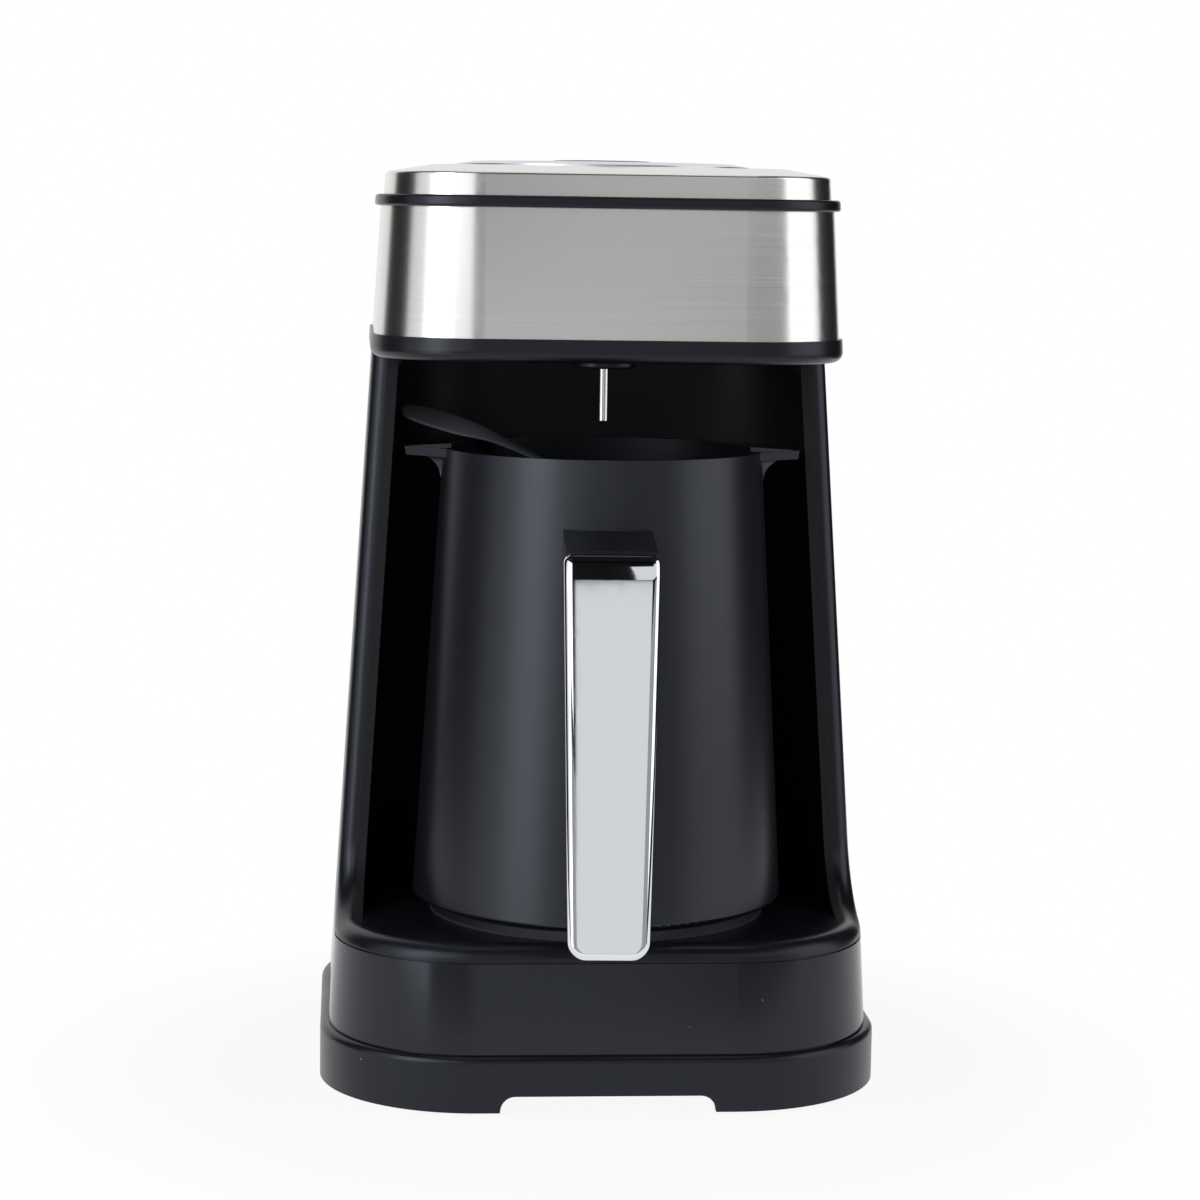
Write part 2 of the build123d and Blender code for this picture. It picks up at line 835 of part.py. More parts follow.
def make_sensor_pod():
    pod = rod(0, y_pot, z_nook - pod_height, z_nook, pod_radius)
    pod = fillet(pod.faces().sort_by(Axis.Z)[0].edges(), pod_height / 4)
    pod -= rod(0, y_pot, z_nook - pod_height, z_nook, probe_radius + seal_wall + thread_gap)
    for i in range(pod_hole_count):
        turn = math.tau * i / pod_hole_count
        x = pod_hole_ring * math.cos(turn)
        y = y_pot + pod_hole_ring * math.sin(turn)
        pod -= rod(x, y, z_nook - pod_height, z_nook - pod_height / 2, pod_hole_radius)
    return pod


def make_foam_probe():
    z_tip = z_rim + probe_tip_gap
    probe = rod(0, y_pot, z_tip, z_tip + probe_length, probe_radius)
    return fillet(probe.faces().sort_by(Axis.Z)[0].edges(), probe_radius / 2)


def make_probe_seal():
    z_inside = z_nook + bezel_floor
    seal = rod(0, y_pot, z_nook - pod_height, z_inside, probe_radius + seal_wall)
    seal += rod(0, y_pot, z_inside, z_inside + seal_head_height, seal_head_radius)
    return seal - rod(0, y_pot, z_nook - pod_height, z_inside + seal_head_height, probe_radius)


def make_probe_lead():
    return rod(0, y_pot, z_rim + probe_tip_gap + probe_length, z_control, lead_radius)


def make_hot_plate():
    z_edge = z_plate - plate_edge
    profile = [(0, z_plate), (plate_radius - plate_edge, z_plate), (plate_radius, z_edge), (plate_radius, z_plate_low),
               (plate_boss_radius, z_plate_low), (plate_boss_radius, z_boss), (stud_radius, z_boss),
               (stud_radius, z_nut - stud_tail), (0, z_nut - stud_tail)]
    return Pos(0, y_pot, 0) * turned(profile)


def make_plate_gasket():
    ring = rod(0, y_pot, z_deck, z_plate_low, plate_radius)
    return ring - rod(0, y_pot, z_deck, z_plate_low, plate_boss_radius + fit_gap)


def make_heating_element():
    ring = rod(0, y_pot, z_element, z_boss, element_radius + element_width / 2)
    ring -= rod(0, y_pot, z_element, z_boss, element_radius - element_width / 2)
    for side in (-1, 1):
        ring += rod(side * pin_x, y_pin, z_element - pin_length, z_element + element_height / 2, pin_radius)
    return ring


def make_element_clamp():
    disc = rod(0, y_pot, z_clamp, z_element, clamp_radius)
    disc -= rod(0, y_pot, z_clamp, z_element, stud_radius + fit_gap)
    for side in (-1, 1):
        disc -= rod(side * pin_x, y_pin, z_clamp, z_element, pin_radius + fit_gap)
    return disc


def make_clamp_nut():
    hexagon = RegularPolygon(nut_flat / 2, 6, major_radius=False)
    nut = extrude(Pos(0, y_pot, z_nut) * hexagon, nut_height)
    return nut - rod(0, y_pot, z_nut, z_clamp, stud_radius)


def make_thermostat():
    return rod(thermostat_x, y_pot, z_clamp - thermostat_height, z_clamp, thermostat_radius)


def make_thermal_fuse():
    return bar(fuse_x, y_pot, z_clamp - fuse_height, z_clamp, fuse_width, fuse_length)


def make_element_leads():
    return group(rod(side * pin_x, y_pin, z_power_top, z_element - pin_length, lead_radius) for side in (-1, 1))


def make_power_board():
    board = bar(0, y_power, z_power_board, z_power_top, power_board_width, power_board_depth)
    for x, y in power_posts():
        board -= rod(x, y, z_power_board, z_power_top, small_shank_radius + fit_gap)
    return board


def make_power_board_screws():
    screws = []
    for x, y in power_posts():
        head = rod(x, y, z_power_top, z_power_top + small_head_height, small_head_radius)
        screws.append(head + rod(x, y, z_floor_top + fit_gap, z_power_top, small_shank_radius))
    return group(screws)


def on_power_board(place, size):
    width, depth, height = size
    return bar(place[0], y_power + place[1], z_power_top, z_power_top + height, width, depth)


def make_transformer():
    block = on_power_board(transformer_place, transformer_size)
    return chamfer(block.faces().sort_by(Axis.Z)[-1].edges(), transformer_size[2] / 8)


def make_relay():
    return on_power_board(relay_place, relay_size)


def make_capacitor():
    x, y = capacitor_place
    can = rod(x, y_power + y, z_power_top, z_power_top + capacitor_height, capacitor_radius)
    return fillet(can.faces().sort_by(Axis.Z)[-1].edges(), capacitor_radius / 6)


def make_terminal_block():
    return on_power_board((0, terminal_y), terminal_size)


def make_harness():
    """From the terminal block up the column to the connector under the control board."""
    y_start = y_power + terminal_y
    z_start = z_power_top + terminal_size[2]
    z_low = z_start + harness_low_rise
    z_high = z_control - connector_height / 2
    points = [(harness_x, y_start, z_start), (harness_x, y_start, z_low), (harness_x, y_harness, z_low),
              (harness_x, y_harness, z_high), (harness_x, connector_back(), z_high)]
    path = FilletPolyline(*points, radius=harness_bend)
    section = Plane(points[0], z_dir=(0, 0, 1)) * Circle(harness_radius)
    return sweep(section, path=path)


def make_harness_clips():
    clips = []
    for rise in clip_rises:
        z = z_deck + rise
        y_low = nook_back(z) + body_wall
        y_high = y_harness + harness_radius + clip_wall
        clip = bar(harness_x, (y_low + y_high) / 2, z, z + clip_height, clip_width, y_high - y_low)
        clips.append(clip - rod(harness_x, y_harness, z - overrun, z + clip_height + overrun, harness_radius))
    return group(clips)


def pot_radius(height):
    """The pot's outer radius at a height above its base."""
    share = (height - pot_base_height) / (pot_height - pot_base_height)
    return pot_foot_radius + (pot_rim_radius - pot_foot_radius) * share


def spout_section(side, depth, reach_share, width_share, wall):
    """A pouring lip's outline at a depth below the rim."""
    z = pot_height - depth
    root = pot_radius(z) - spout_root
    reach = pot_radius(z) + spout_length * reach_share - wall
    half = spout_half_width * width_share - wall
    return Pos(0, 0, z) * polygon([(side * root, -half), (side * root, half), (side * reach, spout_tip / 2),
                                   (side * reach, -spout_tip / 2)])


def spout_solid(side, wall=0, z_extra=0):
    """A pouring lip on one side: a flat beak level with the rim, on a web that curves down to the pot."""
    rim = spout_section(side, 0, 1, 1, wall)
    lip = loft([rim, spout_section(side, spout_lip, spout_lip_draw, spout_lip_draw, wall)], ruled=True)
    shares = zip(spout_web_depth_shares, spout_web_reach_shares, spout_web_width_shares)
    web = loft([spout_section(side, spout_web_depth * depth, reach, width, wall) for depth, reach, width in shares])
    return Pos(0, 0, z_extra) * (lip + web)


def pot_outside():
    body = turned([(0, pot_base_height), (pot_foot_radius, pot_base_height), (pot_rim_radius, pot_height),
                   (0, pot_height)])
    return fillet(body.faces().sort_by(Axis.Z)[0].edges(), pot_foot_round)


def make_pot_body():
    outside = pot_outside()
    z_inside = pot_base_height + pot_floor
    z_mouth = pot_height + overrun
    inside = turned([(0, z_inside), (pot_radius(z_inside) - pot_wall, z_inside),
                     (pot_radius(z_mouth) - pot_wall, z_mouth), (0, z_mouth)])
    inside = fillet(inside.faces().sort_by(Axis.Z)[0].edges(), pot_inner_round)
    for side in (-1, 1):
        outside += spout_solid(side)
    body = outside - inside
    for side in (-1, 1):
        body -= spout_solid(side, spout_wall, spout_wall)
    return pot_place * body


def make_pot_base():
    disc = rod(0, 0, 0, pot_base_height, pot_base_radius)
    return pot_place * fillet(disc.faces().sort_by(Axis.Z)[0].edges(), pot_base_round)


def handle_plane():
    """The handle's outer face: its origin in the middle of the top edge, its y axis up along the handle."""
    lean = math.radians(handle_lean)
    return Plane((0, -handle_standoff, handle_top_height), x_dir=(1, 0, 0), z_dir=(0, -math.cos(lean), math.sin(lean)))


def handle_outline(inset=0):
    top = handle_top_width / 2 - inset
    foot = handle_foot_width / 2 - inset
    face = polygon([(-foot, -handle_length + inset), (foot, -handle_length + inset), (top, -inset), (-top, -inset)])
    points = face.vertices().sort_by(Axis.Y)
    face = fillet(points[:2], handle_foot_corner - inset)
    return fillet(face.vertices().sort_by(Axis.Y)[-2:], handle_top_corner - inset)


def handle_slab(depth, thickness, inset=0):
    """The handle's outline as a slab that starts depth behind the outer face."""
    return handle_plane() * Pos(0, 0, -depth - thickness) * extrude(handle_outline(inset), thickness)


def make_handle_cover():
    cap = extrude(handle_outline(), handle_cover_depth)
    cap = fillet(cap.faces().sort_by(Axis.Z)[-1].edges(), handle_cover_edge)
    cap = handle_plane() * Pos(0, 0, -handle_cover_depth) * cap
    return pot_place * (cap - handle_slab(handle_cover_wall, handle_cover_depth, handle_cover_wall))


def screw_heights():
    z_middle = handle_top_height - mount_drop
    return [z_middle - handle_screw_pitch / 2, z_middle + handle_screw_pitch / 2]


def mount_block(gap=0):
    z_middle = handle_top_height - mount_drop
    y_low = -pot_radius(z_middle) - mount_thickness - gap
    return Pos(0, y_low, z_middle) * Box(mount_width + 2 * gap, 2 * mount_thickness, mount_height + 2 * gap,
                                         align=(Align.CENTER, Align.MIN, Align.CENTER))


def make_handle_mount():
    block = mount_block() - pot_outside()
    for z in screw_heights():
        block -= rod_along_y(0, -handle_standoff, -mount_thickness, z, handle_screw_radius + thread_gap)
    return pot_place * block


def make_handle_grip():
    inner_inset = handle_cover_wall + fit_gap
    tongue = handle_slab(handle_cover_wall + fit_gap, handle_cover_depth, inner_inset)
    back = extrude(handle_outline(grip_inset), grip_depth)
    back = fillet(back.faces().sort_by(Axis.Z)[0].edges(), grip_round)
    back = handle_plane() * Pos(0, 0, -handle_cover_depth - grip_depth) * back
    z_top = handle_top_height
    y_out = -handle_standoff + handle_cover_depth
    y_in = -handle_standoff + handle_cover_depth + grip_depth
    y_wall = -pot_radius(z_top) + mount_thickness
    profile = polygon([(y_out, z_top), (y_wall, z_top + arm_rise), (y_wall, z_top - arm_depth),
                       (y_in, z_top - arm_depth), (y_in - grip_depth / 2, z_top - arm_drop)])
    width = handle_top_width - 2 * grip_inset
    arm = across(profile, width)
    arm = fillet(arm.edges().filter_by(Axis.X).sort_by(Axis.Z)[-1:], arm_round)
    grip = tongue + back + arm - handle_slab(-overrun, handle_cover_depth + overrun) + tongue
    grip = grip - pot_outside() - mount_block(thread_gap)
    for z in screw_heights():
        grip -= rod_along_y(0, -handle_standoff, -mount_thickness, z, handle_screw_radius + thread_gap)
        grip -= rod_along_y(0, -handle_standoff, screw_seat() + thread_gap, z, handle_screw_head + fit_gap)
    return pot_place * grip


def screw_seat():
    return -handle_standoff + handle_cover_depth + handle_screw_head_height


def make_handle_screws():
    screws = []
    y_end = -pot_radius(handle_top_height) - fit_gap - pot_wall
    for z in screw_heights():
        seat = screw_seat()
        head = rod_along_y(0, seat - handle_screw_head_height, seat, z, handle_screw_head)
        screws.append(pot_place * (head + rod_along_y(0, seat, y_end, z, handle_screw_radius)))
    return group(screws)


def spoon_line(x):
    """Height of the spoon's centre line: gentle from its tip to the pot's rim, steeper inside."""
    z_rest = pot_height + seat_gap + spoon_thickness / 2
    if x < spoon_rest_x:
        return z_rest + (spoon_tip_rise - seat_gap) * (x - spoon_rest_x) / (spoon_tip_x - spoon_rest_x)
    return z_rest - spoon_slope_share * (x - spoon_rest_x)


def make_measuring_spoon():
    half = spoon_thickness / 2
    line = [spoon_tip_x, spoon_rest_x, bowl_x - bowl_radius + bowl_wall]
    upper = [(x, spoon_line(x) + half) for x in line]
    lower = [(x, spoon_line(x) - half) for x in reversed(line)]
    side_view = polygon(upper + lower)
    handle = standing(side_view, spoon_offset - spoon_width / 2, spoon_width)
    tip_edges = handle.edges().filter_by(lambda e: e.length < 2 * spoon_thickness).sort_by(Axis.X)[:2]
    handle = fillet(tip_edges, spoon_tip_round)
    z_bowl = spoon_line(bowl_x - bowl_radius) + half
    place = Pos(bowl_x, spoon_offset, z_bowl)
    ball = place * Sphere(bowl_radius)
    hollow = place * Sphere(bowl_radius - bowl_wall)
    above = Pos(bowl_x, spoon_offset, z_bowl) * Box(2 * bowl_radius, 2 * bowl_radius, 2 * bowl_radius, align=UP)
    return pot_place * (handle + ball - hollow - above)


PIECES = {
    "plinth": make_plinth,
    "rubber_feet": make_feet,
    "base_band": make_base_band,
    "cord_gland": make_cord_gland,
    "body_shell": make_body_shell,
    "left_cheek": make_left_cheek,
    "right_cheek": make_right_cheek,
    "nook_liner": make_nook_liner,
    "rear_cover": make_rear_cover,
    "rear_cover_screws": make_cover_screws,
    "plinth_screws": make_plinth_screws,
    "head_bezel": make_head_bezel,
    "head_band": make_head_band,
    "head_frame": make_head_frame,
    "head_screws": make_head_screws,
    "trim_ring": make_trim_ring,
    "lid": make_lid,
    "lid_liner": make_lid_liner,
    "control_disc": make_control_disc,
    "start_button": make_start_button,
    "button_lens": make_button_lens,
    "button_dome": make_button_dome,
    "control_board": make_control_board,
    "control_board_screws": make_control_board_screws,
    "button_switch": make_button_switch,
    "indicator_leds": make_indicator_leds,
    "buzzer": make_buzzer,
    "board_connector": make_board_connector,
    "sensor_pod": make_sensor_pod,
    "foam_probe": make_foam_probe,
    "probe_seal": make_probe_seal,
    "probe_lead": make_probe_lead,
    "hot_plate": make_hot_plate,
    "plate_gasket": make_plate_gasket,
    "heating_element": make_heating_element,
    "element_clamp": make_element_clamp,
    "clamp_nut": make_clamp_nut,
    "thermostat": make_thermostat,
    "thermal_fuse": make_thermal_fuse,
    "element_leads": make_element_leads,
    "power_board": make_power_board,
    "power_board_screws": make_power_board_screws,
    "transformer": make_transformer,
    "relay": make_relay,
    "capacitor": make_capacitor,
    "terminal_block": make_terminal_block,
    "harness": make_harness,
    "harness_clips": make_harness_clips,
    "pot_body": make_pot_body,
    "pot_base": make_pot_base,
    "handle_mount": make_handle_mount,
    "handle_grip": make_handle_grip,
    "handle_cover": make_handle_cover,
    "handle_screws": make_handle_screws,
    "measuring_spoon": make_measuring_spoon,
}

os.makedirs("parts", exist_ok=True)
for name, make in PIECES.items():
    export_step(make(), f"parts/{name}.step")
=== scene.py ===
import json
import math

import bmesh
import bpy
from bpy.props import FloatProperty, FloatVectorProperty, PointerProperty
from mathutils import Matrix, Vector


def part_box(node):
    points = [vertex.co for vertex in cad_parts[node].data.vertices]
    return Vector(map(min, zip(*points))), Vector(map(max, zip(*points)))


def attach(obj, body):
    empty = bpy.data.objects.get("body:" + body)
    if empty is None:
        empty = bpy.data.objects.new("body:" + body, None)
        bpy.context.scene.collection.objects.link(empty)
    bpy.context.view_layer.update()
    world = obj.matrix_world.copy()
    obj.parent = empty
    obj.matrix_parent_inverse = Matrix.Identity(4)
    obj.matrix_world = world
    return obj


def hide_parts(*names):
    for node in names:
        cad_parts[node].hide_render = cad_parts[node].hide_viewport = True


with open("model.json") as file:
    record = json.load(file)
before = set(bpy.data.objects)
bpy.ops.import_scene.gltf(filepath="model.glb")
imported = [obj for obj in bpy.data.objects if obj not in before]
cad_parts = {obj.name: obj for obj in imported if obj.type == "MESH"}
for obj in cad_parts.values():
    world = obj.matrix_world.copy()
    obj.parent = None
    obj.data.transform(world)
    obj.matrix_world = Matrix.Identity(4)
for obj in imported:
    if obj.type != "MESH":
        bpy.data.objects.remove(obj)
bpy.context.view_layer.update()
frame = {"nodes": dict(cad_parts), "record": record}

bl_info = {
    "name": "Coffee machine",
    "version": (1, 0, 0),
    "blender": (4, 5, 0),
    "location": "View3D > Sidebar > Coffee machine",
    "description": "Dresses the packed coffee machine with its finishes, its modelled pieces and a studio",
    "category": "Object",
}

MM = 0.001


def linear(code):
    """An sRGB hex colour as linear RGBA."""
    parts = [int(code[i:i + 2], 16) / 255 for i in (0, 2, 4)]
    return tuple(c / 12.92 if c <= 0.04045 else ((c + 0.055) / 1.055) ** 2.4 for c in parts) + (1.0,)


# A faint blue in the sheen of the black plastics and of the pot's coating
COOL_SHEEN = linear("EDF3FF")
DUST_GREY = linear("B8BAC0")


def length(name, description, millimetres):
    """A length property, its default given in millimetres."""
    return FloatProperty(name=name, description=description, default=millimetres * MM, unit="LENGTH", precision=5)


def angle(name, description, degrees):
    """An angle property, its default given in degrees."""
    return FloatProperty(name=name, description=description, default=math.radians(degrees), unit="ROTATION",
                         subtype="ANGLE")


def colour(name, description, code):
    """A colour property, its default given as an sRGB hex colour."""
    return FloatVectorProperty(name=name, description=description, default=linear(code), size=4, min=0.0, max=1.0,
                               subtype="COLOR")


def strength(name, description, default):
    """A lamp's radiance; 1 renders as white."""
    return FloatProperty(name=name, description=description, default=default, min=0.0)


class BodyLook(bpy.types.PropertyGroup):
    """Colours of the machine's outer pieces."""

    satin_black: colour("Satin black", "Moulded ABS of the plinth, body and rear cover", "14161C")
    gloss_black: colour("Gloss black", "Polished ABS of the base band", "0F1118")
    nook_black: colour("Nook black", "Moulded ABS of the nook's liner", "171719")
    trim_black: colour("Trim black", "Moulded ABS of the bezel and trim ring", "15161A")
    steel: colour("Steel", "Brushed stainless steel of the head band and lid", "DAD9D5")
    disc_steel: colour("Disc steel", "Turned stainless steel of the control disc", "CACCD0")
    probe_steel: colour("Probe steel", "Drawn stainless steel of the foam probe", "D2D1CE")
    rubber: colour("Rubber", "Silicone rubber of the feet and seals", "26262A")
    lens: colour("Lens", "Smoked acrylic over the button's lamp", "8C9096")


class PotLook(bpy.types.PropertyGroup):
    """Colours of the pot, its handle and its spoon."""

    coating: colour("Coating", "Non-stick coating of the pot", "13151A")
    # Painted shade: this colour makes the pot's base and the hot plate near-black, so that they read as the dark gap
    # under the pot's foot.
    base: colour("Base", "Near-black of the pot's base and of the hot plate, painted shade under the pot", "121214")
    grip: colour("Grip", "Moulded nylon of the handle's grip", "121215")
    chrome: colour("Chrome", "Chrome plate of the handle's cover", "E2E4E6")
    spoon: colour("Spoon", "Moulded polypropylene of the measuring spoon", "54565C")


class InsideLook(bpy.types.PropertyGroup):
    """Colours of the pieces inside."""

    aluminium: colour("Aluminium", "Cast aluminium of the heating element", "9A9A98")
    zinc: colour("Zinc", "Zinc plate of screws, nut, clamp and fuse", "BEBDB4")
    plastic: colour("Inner plastic", "Moulded polypropylene of the frame, liner and clips", "5F6064")
    board: colour("Board", "Solder mask of the circuit boards", "1E6B3A")
    component: colour("Component", "Epoxy of the switch, buzzer and relay", "2A2A2C")
    connector: colour("Connector", "Natural nylon of the connectors", "E3DFD0")
    wire: colour("Wire", "Silicone sleeve of the wires", "A8322A")
    sleeve: colour("Sleeve", "Braided sleeve of the harness", "2B2B2E")
    phenolic: colour("Phenolic", "Pressed phenolic resin of the thermostat", "5A4030")
    core: colour("Core", "Varnished laminations of the transformer", "54504A")


class HandleSizes(bpy.types.PropertyGroup):
    """The chrome cover on the front of the pot's handle."""

    standoff: length("Standoff", "From the pot's middle to the top edge of the cover", 85.7)
    top_height: length("Top height", "From the pot's base to the top edge of the cover", 112.2)
    lean: angle("Lean", "How far the foot of the handle stands out", 7.3)
    turn: angle("Turn", "How the pot is turned on its plate", -2.3)
    length: length("Length", "From the top edge to the foot", 110.5)
    top_width: length("Top width", "Width at the top", 26.8)
    foot_width: length("Foot width", "Width at the foot", 22.4)
    top_corner: length("Top corner", "Radius of the top's corners", 2.6)
    depth: length("Depth", "Depth of the cover", 5.0)
    wall: length("Wall", "Thickness of the plated wall", 1.8)
    roll_reach: length("Roll reach", "How far below the top edge the front starts to roll back", 7.3)
    roll_radius: length("Roll radius", "Radius of the rolled top", 16.0)
    foot_corner: length("Foot corner", "Radius of the foot's corners", 5.0)
    edge: length("Edge", "Radius of the front's edges", 2.4)
    hollow: length("Hollow", "Depth of the hollow in the back", 2.2)


class ButtonSizes(bpy.types.PropertyGroup):
    """The start button, from its top down."""

    radius: length("Radius", "Radius of the cap", 15.3)
    edge: length("Edge", "Radius of the cap's edge", 1.2)
    dish: length("Dish", "How deep the cap dips to the lens", 0.5)
    lens_seat: length("Lens seat", "Radius of the seat of the lens", 9.6)
    lens_depth: length("Lens depth", "Thickness of the lens", 1.2)
    skirt: length("Skirt", "From the top of the cap to its flange", 5.3)
    flange_radius: length("Flange radius", "Radius of the flange that stops the cap", 17.3)
    flange: length("Flange", "Thickness of the flange", 1.7)
    dome_radius: length("Dome radius", "Radius of the hollow over the return dome", 7.2)
    dome_room: length("Dome room", "Depth of the hollow that takes the dome when the cap is pushed", 1.75)
    stem_radius: length("Stem radius", "Radius of the stem that presses the switch", 3.0)


class ScrewSizes(bpy.types.PropertyGroup):
    """The pan-head screws of the rear cover."""

    head_radius: length("Head radius", "Radius of the head", 3.6)
    head_height: length("Head height", "Height of the head", 1.1)
    head_edge: length("Head edge", "Radius of the head's edge", 0.5)
    cross_width: length("Cross width", "Width of the cross's slots", 0.9)
    cross_length: length("Cross length", "Length of the cross's slots", 4.2)
    cross_depth: length("Cross depth", "Depth of the cross", 0.7)
    shank_radius: length("Shank radius", "Radius of the shank", 1.9)
    shank_length: length("Shank length", "Length of the shank", 14.0)
    back_slope: FloatProperty(name="Back slope", description="How the back draws in with height", default=0.06)


class SpoonSizes(bpy.types.PropertyGroup):
    """The measuring spoon that lies across the back of the pot."""

    offset: length("Offset", "From the pot's middle to the spoon, towards the back", 27.0)
    rim_height: length("Rim height", "From the pot's base to its rim", 134.2)
    bowl_x: length("Bowl place", "From the pot's middle to the bowl, along the spoon", 22.0)
    bowl_radius: length("Bowl radius", "Outer radius of the bowl", 10.5)
    bowl_wall: length("Bowl wall", "Thickness of the bowl", 1.2)
    roll: angle("Roll", "How far the blade is turned towards the front", 50.0)


class StageSizes(bpy.types.PropertyGroup):
    """Camera, lights and background."""

    yaw: angle("Yaw", "The camera's turn to the right", 4.51)
    pitch: angle("Pitch", "The camera's tilt down", 7.07)
    roll: angle("Roll", "The camera's roll", 0.87)
    distance: length("Distance", "From the camera to the point that it looks at", 951.2)
    target_y: length("Target depth", "Depth of the point that the camera looks at", 3.3)
    target_z: length("Target height", "Height of the point that the camera looks at", 141.54)
    focal: FloatProperty(name="Focal length", description="Focal length in millimetres", default=95.65, min=1.0)
    left_light: strength("Left light", "Radiance of the left softbox", 1.7)
    core_light: strength("Core light", "Radiance that the left softbox adds in its middle", 2.75)
    side_light: strength("Side light", "Radiance of the card beside the left softbox", 0.95)
    right_light: strength("Right light", "Radiance of the right softbox", 1.6)
    front_light: strength("Front light", "Radiance of the cards behind the camera", 0.86)
    low_light: strength("Low light", "Radiance of the low cards beside the camera", 0.38)
    room_light: strength("Room light", "Radiance of the room all round", 0.18)
    tent_radius: length("Tent radius", "Radius of the dark cloth round the set", 2300.0)
    tent_left: angle("Tent left", "How far round to the left the cloth goes, from the front", 132.0)
    tent_right: angle("Tent right", "How far round to the right the cloth goes, from the front", 150.0)
    backdrop: colour("Backdrop", "Paper of the floor", "F6F6F6")


GROUPS = {
    "coffee_body": BodyLook,
    "coffee_pot": PotLook,
    "coffee_inside": InsideLook,
    "coffee_handle": HandleSizes,
    "coffee_spoon": SpoonSizes,
    "coffee_button": ButtonSizes,
    "coffee_screws": ScrewSizes,
    "coffee_stage": StageSizes,
}


def add(tree, kind, links=None, values=None, **settings):
    """Adds a shader node with its settings, its sockets' values and the outputs linked to its sockets."""
    made = tree.nodes.new(kind)
    for name, value in settings.items():
        setattr(made, name, value)
    for socket, value in (values or {}).items():
        made.inputs[socket].default_value = value
    for socket, source in (links or {}).items():
        tree.links.new(source, made.inputs[socket])
    return made


def per(millimetres):
    """The texture scale whose pattern repeats about every so many millimetres."""
    return 1.0 / (millimetres * MM)


def new_material(name, **values):
    """An empty node material: its tree, its Principled shader and its Object coordinates."""
    material = bpy.data.materials.new(name)
    material.use_nodes = True
    tree = material.node_tree
    tree.nodes.clear()
    shader = add(tree, "ShaderNodeBsdfPrincipled", values=values)
    add(tree, "ShaderNodeOutputMaterial", links={"Surface": shader.outputs["BSDF"]})
    where = add(tree, "ShaderNodeTexCoord").outputs["Object"]
    return material, tree, shader, where


def join(tree, shader, base, sheen, bump=None):
    """Links a finish's colour, roughness and bump to its shader."""
    tree.links.new(base, shader.inputs["Base Color"])
    tree.links.new(sheen.outputs["Result"], shader.inputs["Roughness"])
    if bump:
        tree.links.new(bump.outputs["Normal"], shader.inputs["Normal"])


def shade(rgba, times):
    """A colour made darker or lighter by a factor."""
    return tuple(min(1.0, c * times) for c in rgba[:3]) + (1.0,)


def moulded_plastic(name, rgba, roughness, grain_mm, grain_depth_mm, dust=0.0, **values):
    """Injection-moulded plastic. Spark-eroded tool steel leaves a fine even grain that spreads highlights, the
    flow of the melt leaves faint clouds in the sheen, and handling leaves a little dust."""
    material, tree, shader, where = new_material(name, **values)
    clouds = add(tree, "ShaderNodeTexNoise", {"Vector": where}, {"Scale": per(28.0), "Detail": 3.0})
    sheen = add(tree, "ShaderNodeMapRange", {"Value": clouds.outputs["Fac"]},
                {"From Min": 0.3, "From Max": 0.7, "To Min": roughness * 0.88, "To Max": roughness * 1.12})
    tint = add(tree, "ShaderNodeMix", {"Factor": clouds.outputs["Fac"]},
               {"A": shade(rgba, 0.88), "B": shade(rgba, 1.12)}, data_type="RGBA")
    grain = add(tree, "ShaderNodeTexNoise", {"Vector": where}, {"Scale": per(grain_mm), "Detail": 2.0})
    bump = add(tree, "ShaderNodeBump", {"Height": grain.outputs["Fac"]},
               {"Strength": 0.5, "Distance": grain_depth_mm * MM})
    base = tint.outputs["Result"]
    if dust:
        cells = add(tree, "ShaderNodeTexVoronoi", {"Vector": where}, {"Scale": per(5.0)})
        rare = add(tree, "ShaderNodeSeparateColor", {"Color": cells.outputs["Color"]})
        few = add(tree, "ShaderNodeMath", {0: rare.outputs["Red"]}, {1: 0.6}, operation="GREATER_THAN")
        size = add(tree, "ShaderNodeMath", {0: rare.outputs["Green"]}, {1: 0.046}, operation="MULTIPLY")
        near = add(tree, "ShaderNodeMath", {0: cells.outputs["Distance"], 1: size.outputs[0]}, operation="LESS_THAN")
        speck = add(tree, "ShaderNodeMath", {0: near.outputs[0], 1: few.outputs[0]}, operation="MULTIPLY")
        amount = add(tree, "ShaderNodeMath", {0: speck.outputs[0]}, {1: dust}, operation="MULTIPLY")
        base = add(tree, "ShaderNodeMix", {"Factor": amount.outputs[0], "A": base}, {"B": DUST_GREY},
                   data_type="RGBA").outputs["Result"]
    join(tree, shader, base, sheen, bump)
    return material


def brushed_metal(name, rgba, roughness, stretch_mm, line_mm, depth_mm, **values):
    """Stainless steel brushed along its length. The belt leaves long fine scratches, which spread reflections
    across them and leave them sharp along the lines; the lines are drawn coarser than real so that they show."""
    material, tree, shader, where = new_material(name, Metallic=1.0, **values)
    lines = add(tree, "ShaderNodeMapping", {"Vector": where},
                {"Scale": (per(stretch_mm), per(stretch_mm), per(line_mm))})
    scratches = add(tree, "ShaderNodeTexNoise", {"Vector": lines.outputs["Vector"]},
                    {"Scale": 1.0, "Detail": 4.0, "Roughness": 0.65})
    sheen = add(tree, "ShaderNodeMapRange", {"Value": scratches.outputs["Fac"]},
                {"From Min": 0.3, "From Max": 0.7, "To Min": roughness * 0.93, "To Max": roughness * 1.07})
    tint = add(tree, "ShaderNodeMix", {"Factor": scratches.outputs["Fac"]},
               {"A": shade(rgba, 0.86), "B": shade(rgba, 1.12)}, data_type="RGBA")
    bump = add(tree, "ShaderNodeBump", {"Height": scratches.outputs["Fac"]},
               {"Strength": 0.4, "Distance": depth_mm * MM})
    along = add(tree, "ShaderNodeTangent", direction_type="RADIAL", axis="Z")
    join(tree, shader, tint.outputs["Result"], sheen, bump)
    tree.links.new(along.outputs["Tangent"], shader.inputs["Tangent"])
    return material


